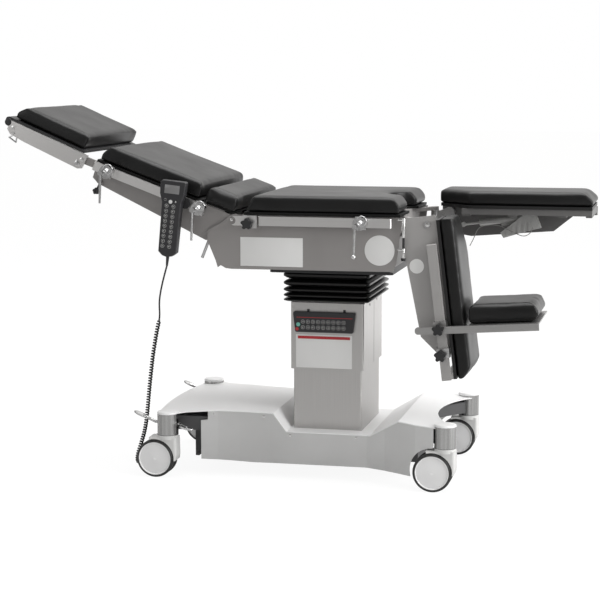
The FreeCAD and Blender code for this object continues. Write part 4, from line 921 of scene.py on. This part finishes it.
# %% Stop rod and hinge trim
ROD_X = 0.2675
ROD_Y = -0.2615
LUG_HEIGHTS = (0.8580, 0.7640)
stop_rod = [rod_part((ROD_X, ROD_Y, 0.863), (ROD_X, ROD_Y, 0.802), 0.0052, sides=24, edge=0.0008),
            rod_part((ROD_X, ROD_Y, 0.768), (ROD_X, ROD_Y, 0.737), 0.0048, sides=24, edge=0.0008)]
stop_rod += [box_part((ROD_X - 0.009, ROD_Y + 0.006, z), (0.020, 0.009, 0.006), 0.0005)
             for z in LUG_HEIGHTS]
stop_dark = [rod_part((ROD_X, ROD_Y, 0.803), (ROD_X, ROD_Y, 0.767), 0.0040, sides=24),
             rod_part((ROD_X, ROD_Y, 0.738), (ROD_X, ROD_Y, 0.729), 0.0080, tip=0.0070, sides=24,
                      edge=0.0010)]
one_piece("stop_rod", stop_rod, "seat", bright_steel)
one_piece("stop_rod_foot", stop_dark, "seat", black_plastic)
one_piece("back_pin", [screw((-0.2916, -0.2562, 0.8480), (0, -1, 0), 0.0050)], "seat", bright_steel)
one_piece("hip_bolt", [screw((0.3415, -0.2552, 0.8450), (0, -1, 0), 0.0070)], "leg_near",
          bright_steel)
end_cap = rod_part((-1.0475, -0.2645, 1.1555), (-1.0475, -0.2560, 1.1555), 0.0125, edge=0.0020)
one_piece("head_end_cap", [end_cap], "head", black_plastic)
KNOB_X = -0.748
KNOB_Z = 0.9336
LOBE_OUT = 0.0062
LOBE_TURNS = (0.3, 1.56, 2.81, 4.07, 5.33)
lobe_middles = [(KNOB_X + LOBE_OUT * math.cos(turn), KNOB_Z + LOBE_OUT * math.sin(turn))
                for turn in LOBE_TURNS]
knob_lobes = [rod_part((x, -0.2560, z), (x, -0.2660, z), 0.0052, sides=20, edge=0.0010)
              for x, z in lobe_middles]
knob_stem = rod_part((KNOB_X, -0.2600, KNOB_Z), (-0.7330, -0.2500, 0.9680), 0.0036, sides=20)
one_piece("back_knob", knob_lobes + [knob_stem], "back", black_plastic)
stay = rod_part((-0.3980, -0.2340, 0.7210), (-0.3630, -0.2450, 0.8010), 0.0048, sides=24, edge=0.0010)
one_piece("seat_stay", [stay], "seat", steel_turned)
latch = rod_part((-0.8110, -0.2640, 1.0240), (-0.8110, -0.2680, 1.0240), 0.0150, sides=3, edge=0.0012)
one_piece("head_latch", [latch], "head", chrome_painted_reflection)
print("hinge trim ready")

# %% Cable under the far leg
CABLE_Y = 0.100
CABLE_THICK = 0.0026
cable_line = [(0.4273, 0.744), (0.4400, 0.7676), (0.4499, 0.7961), (0.4637, 0.8103), (0.4822, 0.8130),
              (0.5010, 0.8157), (0.5242, 0.8138), (0.5474, 0.8027), (0.5753, 0.7894), (0.6030, 0.7784),
              (0.6213, 0.7847), (0.6325, 0.7998), (0.6339, 0.8114)]
cable = smooth_curve("leg_cable", [(x, CABLE_Y, z) for x, z in cable_line], CABLE_THICK)
pick(cable)
bpy.ops.object.convert(target="MESH")
cable = bpy.context.object
bpy.ops.object.shade_smooth()
one_piece("leg_cable", [cable], "leg_far", cable_grey)
print("cable ready")

# %% [markdown]
# The pads are foam under a coated, conductive cover: firm, nearly flat, with soft edges. Each one starts as
# a copy of its plain CAD solid, is remeshed into even faces, drawn in a little and blown up a few
# millimetres as cloth, which crowns the faces and rounds the edges as a tight cover does.

# %% Pad cover material
def cover_material():
    """Black coated fabric with a fine leather grain."""
    material, tree, shader, mapping = start_material("pad_cover")
    cells = add_node(tree, "ShaderNodeTexVoronoi")
    cells.inputs["Scale"].default_value = 520.0
    tree.links.new(mapping.outputs["Vector"], cells.inputs["Vector"])
    group = add_node(tree, "ShaderNodeGroup", node_tree=SPECKLE)
    group.inputs["Base"].default_value = (0.007, 0.007, 0.007, 1)
    group.inputs["Tint"].default_value = (0.012, 0.012, 0.012, 1)
    group.inputs["Rough"].default_value = 0.36
    group.inputs["Scale"].default_value = 140.0
    tree.links.new(mapping.outputs["Vector"], group.inputs["Vector"])
    tree.links.new(group.outputs["Color"], shader.inputs["Base Color"])
    tree.links.new(group.outputs["Roughness"], shader.inputs["Roughness"])
    shader.inputs["Specular IOR Level"].default_value = 0.27
    bump_from(tree, cells.outputs["Distance"], shader, 0.0002, 0.20)
    return material


pad_cover = cover_material()
print("pad cover ready")

# %% Padding by cloth
PAD_VOXEL = 0.006
PAD_DRAW_IN = 0.0025
PAD_MOVE = 0.005
PAD_FRAMES = 20
PAD_PRESSURE = 4.0
PAD_ROUNDING = 14


def even_mesh(name, node):
    """A copy of a CAD pad, drawn in and remeshed."""
    pad = bpy.data.objects.new(name, nodes[node].data.copy())
    scene.collection.objects.link(pad)
    pad.data.materials.clear()
    pick(pad)
    bpy.ops.object.mode_set(mode="EDIT")
    bpy.ops.mesh.select_all(action="SELECT")
    bpy.ops.mesh.remove_doubles(threshold=0.00001)
    bpy.ops.object.mode_set(mode="OBJECT")
    remesh = pad.modifiers.new("even", "REMESH")
    remesh.mode = "VOXEL"
    remesh.voxel_size = PAD_VOXEL
    apply_all(pad)
    normals = [vertex.normal.copy() for vertex in pad.data.vertices]
    for vertex, normal in zip(pad.data.vertices, normals):
        vertex.co -= normal * PAD_DRAW_IN
    return pad


def blown_up(pad):
    """Cloth under pressure for a few frames, with each point's travel capped."""
    start = [vertex.co.copy() for vertex in pad.data.vertices]
    pick(pad)
    cloth = pad.modifiers.new("cover", "CLOTH")
    cloth.settings.use_pressure = True
    cloth.settings.uniform_pressure_force = PAD_PRESSURE
    cloth.settings.effector_weights.gravity = 0.0
    cloth.settings.quality = 3
    cloth.collision_settings.use_collision = False
    cloth.point_cache.frame_start = 1
    cloth.point_cache.frame_end = PAD_FRAMES
    for number in range(1, PAD_FRAMES + 1):
        scene.frame_set(number)
    bpy.ops.object.modifier_apply(modifier=cloth.name)
    scene.frame_set(1)
    for vertex, home in zip(pad.data.vertices, start):
        step = vertex.co - home
        if step.length > PAD_MOVE:
            vertex.co = home + step.normalized() * PAD_MOVE
    return pad


def finish_pad(pad, node, body):
    smooth = pad.modifiers.new("settled", "SMOOTH")
    smooth.iterations = PAD_ROUNDING
    finer = pad.modifiers.new("finer", "SUBSURF")
    finer.levels = 1
    finer.render_levels = 1
    apply_all(pad)
    bpy.ops.object.shade_smooth()
    pad.data.materials.append(pad_cover)
    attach(pad, body)
    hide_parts(node)
    print(pad.name, "faces", len(pad.data.polygons))
    return pad


def make_pad(node, body):
    pad = even_mesh(node.replace("pad", "cushion"), node)
    blown_up(pad)
    return finish_pad(pad, node, body)


for node, body in (("seat_pad", "seat"), ("back_pad", "back"), ("lumbar_pad", "lumbar"), ("head_pad", "head"),
                   ("foot_pad", "foot_rest"), ("leg_pad_near", "leg_near"), ("leg_pad_far", "leg_far")):
    make_pad(node, body)

# %% [markdown]
# The bellows is a folded rubber skin between the column and the table's top. The top leans two ways on the
# cross between them, and the skin is cut at the cross into two pieces: the lower one reaches from the sleeve
# to the cross and the upper one from the cross to the seat.

# %% Bellows
bellows_rubber = speckled("bellows_rubber", (0.003, 0.003, 0.003), (0.006, 0.006, 0.006), 0.32, 500.0,
                          specular=0.45)
CROSS_Z = 0.632
FOLDS = 5
FOLD_SHRINK = 0.83
FOLD_DEPTH = 0.027
SKIN = 0.0022
CORNER_ROUND = 0.022
GROOVE_SHARPNESS = 0.55
FOLD_ANGLE = math.radians(40)
UNDER_SKIN_Z = 0.5
OVER_SKIN_Z = 0.8
STEPS = (0.0, 0.07, 0.2, 0.38, 0.62, 0.80, 0.93)
LOW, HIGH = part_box("bellows")


def fold_levels():
    """Height and draw-in of every ring, from the top fold down. Each fold is lower than the one above."""
    total = HIGH.z - LOW.z
    height = total * (1 - FOLD_SHRINK) / (1 - FOLD_SHRINK ** FOLDS)
    z = HIGH.z
    levels = []
    for fold in range(FOLDS):
        for t in STEPS:
            levels.append((z - height * t, FOLD_DEPTH * (1 - math.sin(math.pi * t) ** GROOVE_SHARPNESS)))
        z -= height
        height *= FOLD_SHRINK
    return levels + [(LOW.z, FOLD_DEPTH)]


def folded_skin():
    """A rounded ring, extruded from level to level and drawn in at each groove, then given its thickness."""
    levels = fold_levels()
    half_x, half_y = HIGH.x, HIGH.y
    z, inset = levels[0]
    deselect()
    bpy.ops.mesh.primitive_plane_add(size=2.0, location=(0, 0, z))
    skin = bpy.context.object
    skin.scale = (half_x - inset, half_y - inset, 1)
    settle(skin)
    bpy.ops.object.mode_set(mode="EDIT")
    bpy.ops.mesh.select_all(action="SELECT")
    bpy.ops.mesh.bevel(offset=CORNER_ROUND, segments=5, affect="VERTICES")
    bpy.ops.mesh.select_all(action="SELECT")
    bpy.ops.mesh.delete(type="ONLY_FACE")
    bpy.ops.mesh.select_all(action="SELECT")
    for z_next, inset_next in levels[1:]:
        bpy.ops.mesh.extrude_region_move(TRANSFORM_OT_translate={"value": (0, 0, z_next - z)})
        bpy.ops.transform.resize(value=((half_x - inset_next) / (half_x - inset),
                                        (half_y - inset_next) / (half_y - inset), 1),
                                 center_override=(0, 0, z_next))
        z, inset = z_next, inset_next
    bpy.ops.mesh.select_all(action="SELECT")
    bpy.ops.mesh.normals_make_consistent(inside=False)
    bpy.ops.object.mode_set(mode="OBJECT")
    wall = skin.modifiers.new("wall", "SOLIDIFY")
    wall.thickness = SKIN
    wall.offset = -1
    return apply_all(skin)


whole_skin = folded_skin()
print("bellows rings", len(fold_levels()))


def bellows_part(name, low, high):
    """A slice of the folded skin between two heights."""
    part = bpy.data.objects.new(name, whole_skin.data.copy())
    scene.collection.objects.link(part)
    pick(part)
    bpy.ops.object.mode_set(mode="EDIT")
    bpy.ops.mesh.select_all(action="SELECT")
    bpy.ops.mesh.bisect(plane_co=(0, 0, low), plane_no=(0, 0, 1), clear_inner=True)
    bpy.ops.mesh.select_all(action="SELECT")
    bpy.ops.mesh.bisect(plane_co=(0, 0, high), plane_no=(0, 0, 1), clear_outer=True)
    bpy.ops.object.mode_set(mode="OBJECT")
    part.data.materials.append(bellows_rubber)
    bpy.ops.object.shade_smooth_by_angle(angle=FOLD_ANGLE)
    return part


lower_folds = bellows_part("bellows_lower", UNDER_SKIN_Z, CROSS_Z)
upper_folds = bellows_part("bellows_upper", CROSS_Z, OVER_SKIN_Z)
bpy.data.objects.remove(whole_skin)
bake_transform(lower_folds)
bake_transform(upper_folds)
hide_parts("bellows")
print("bellows ready")
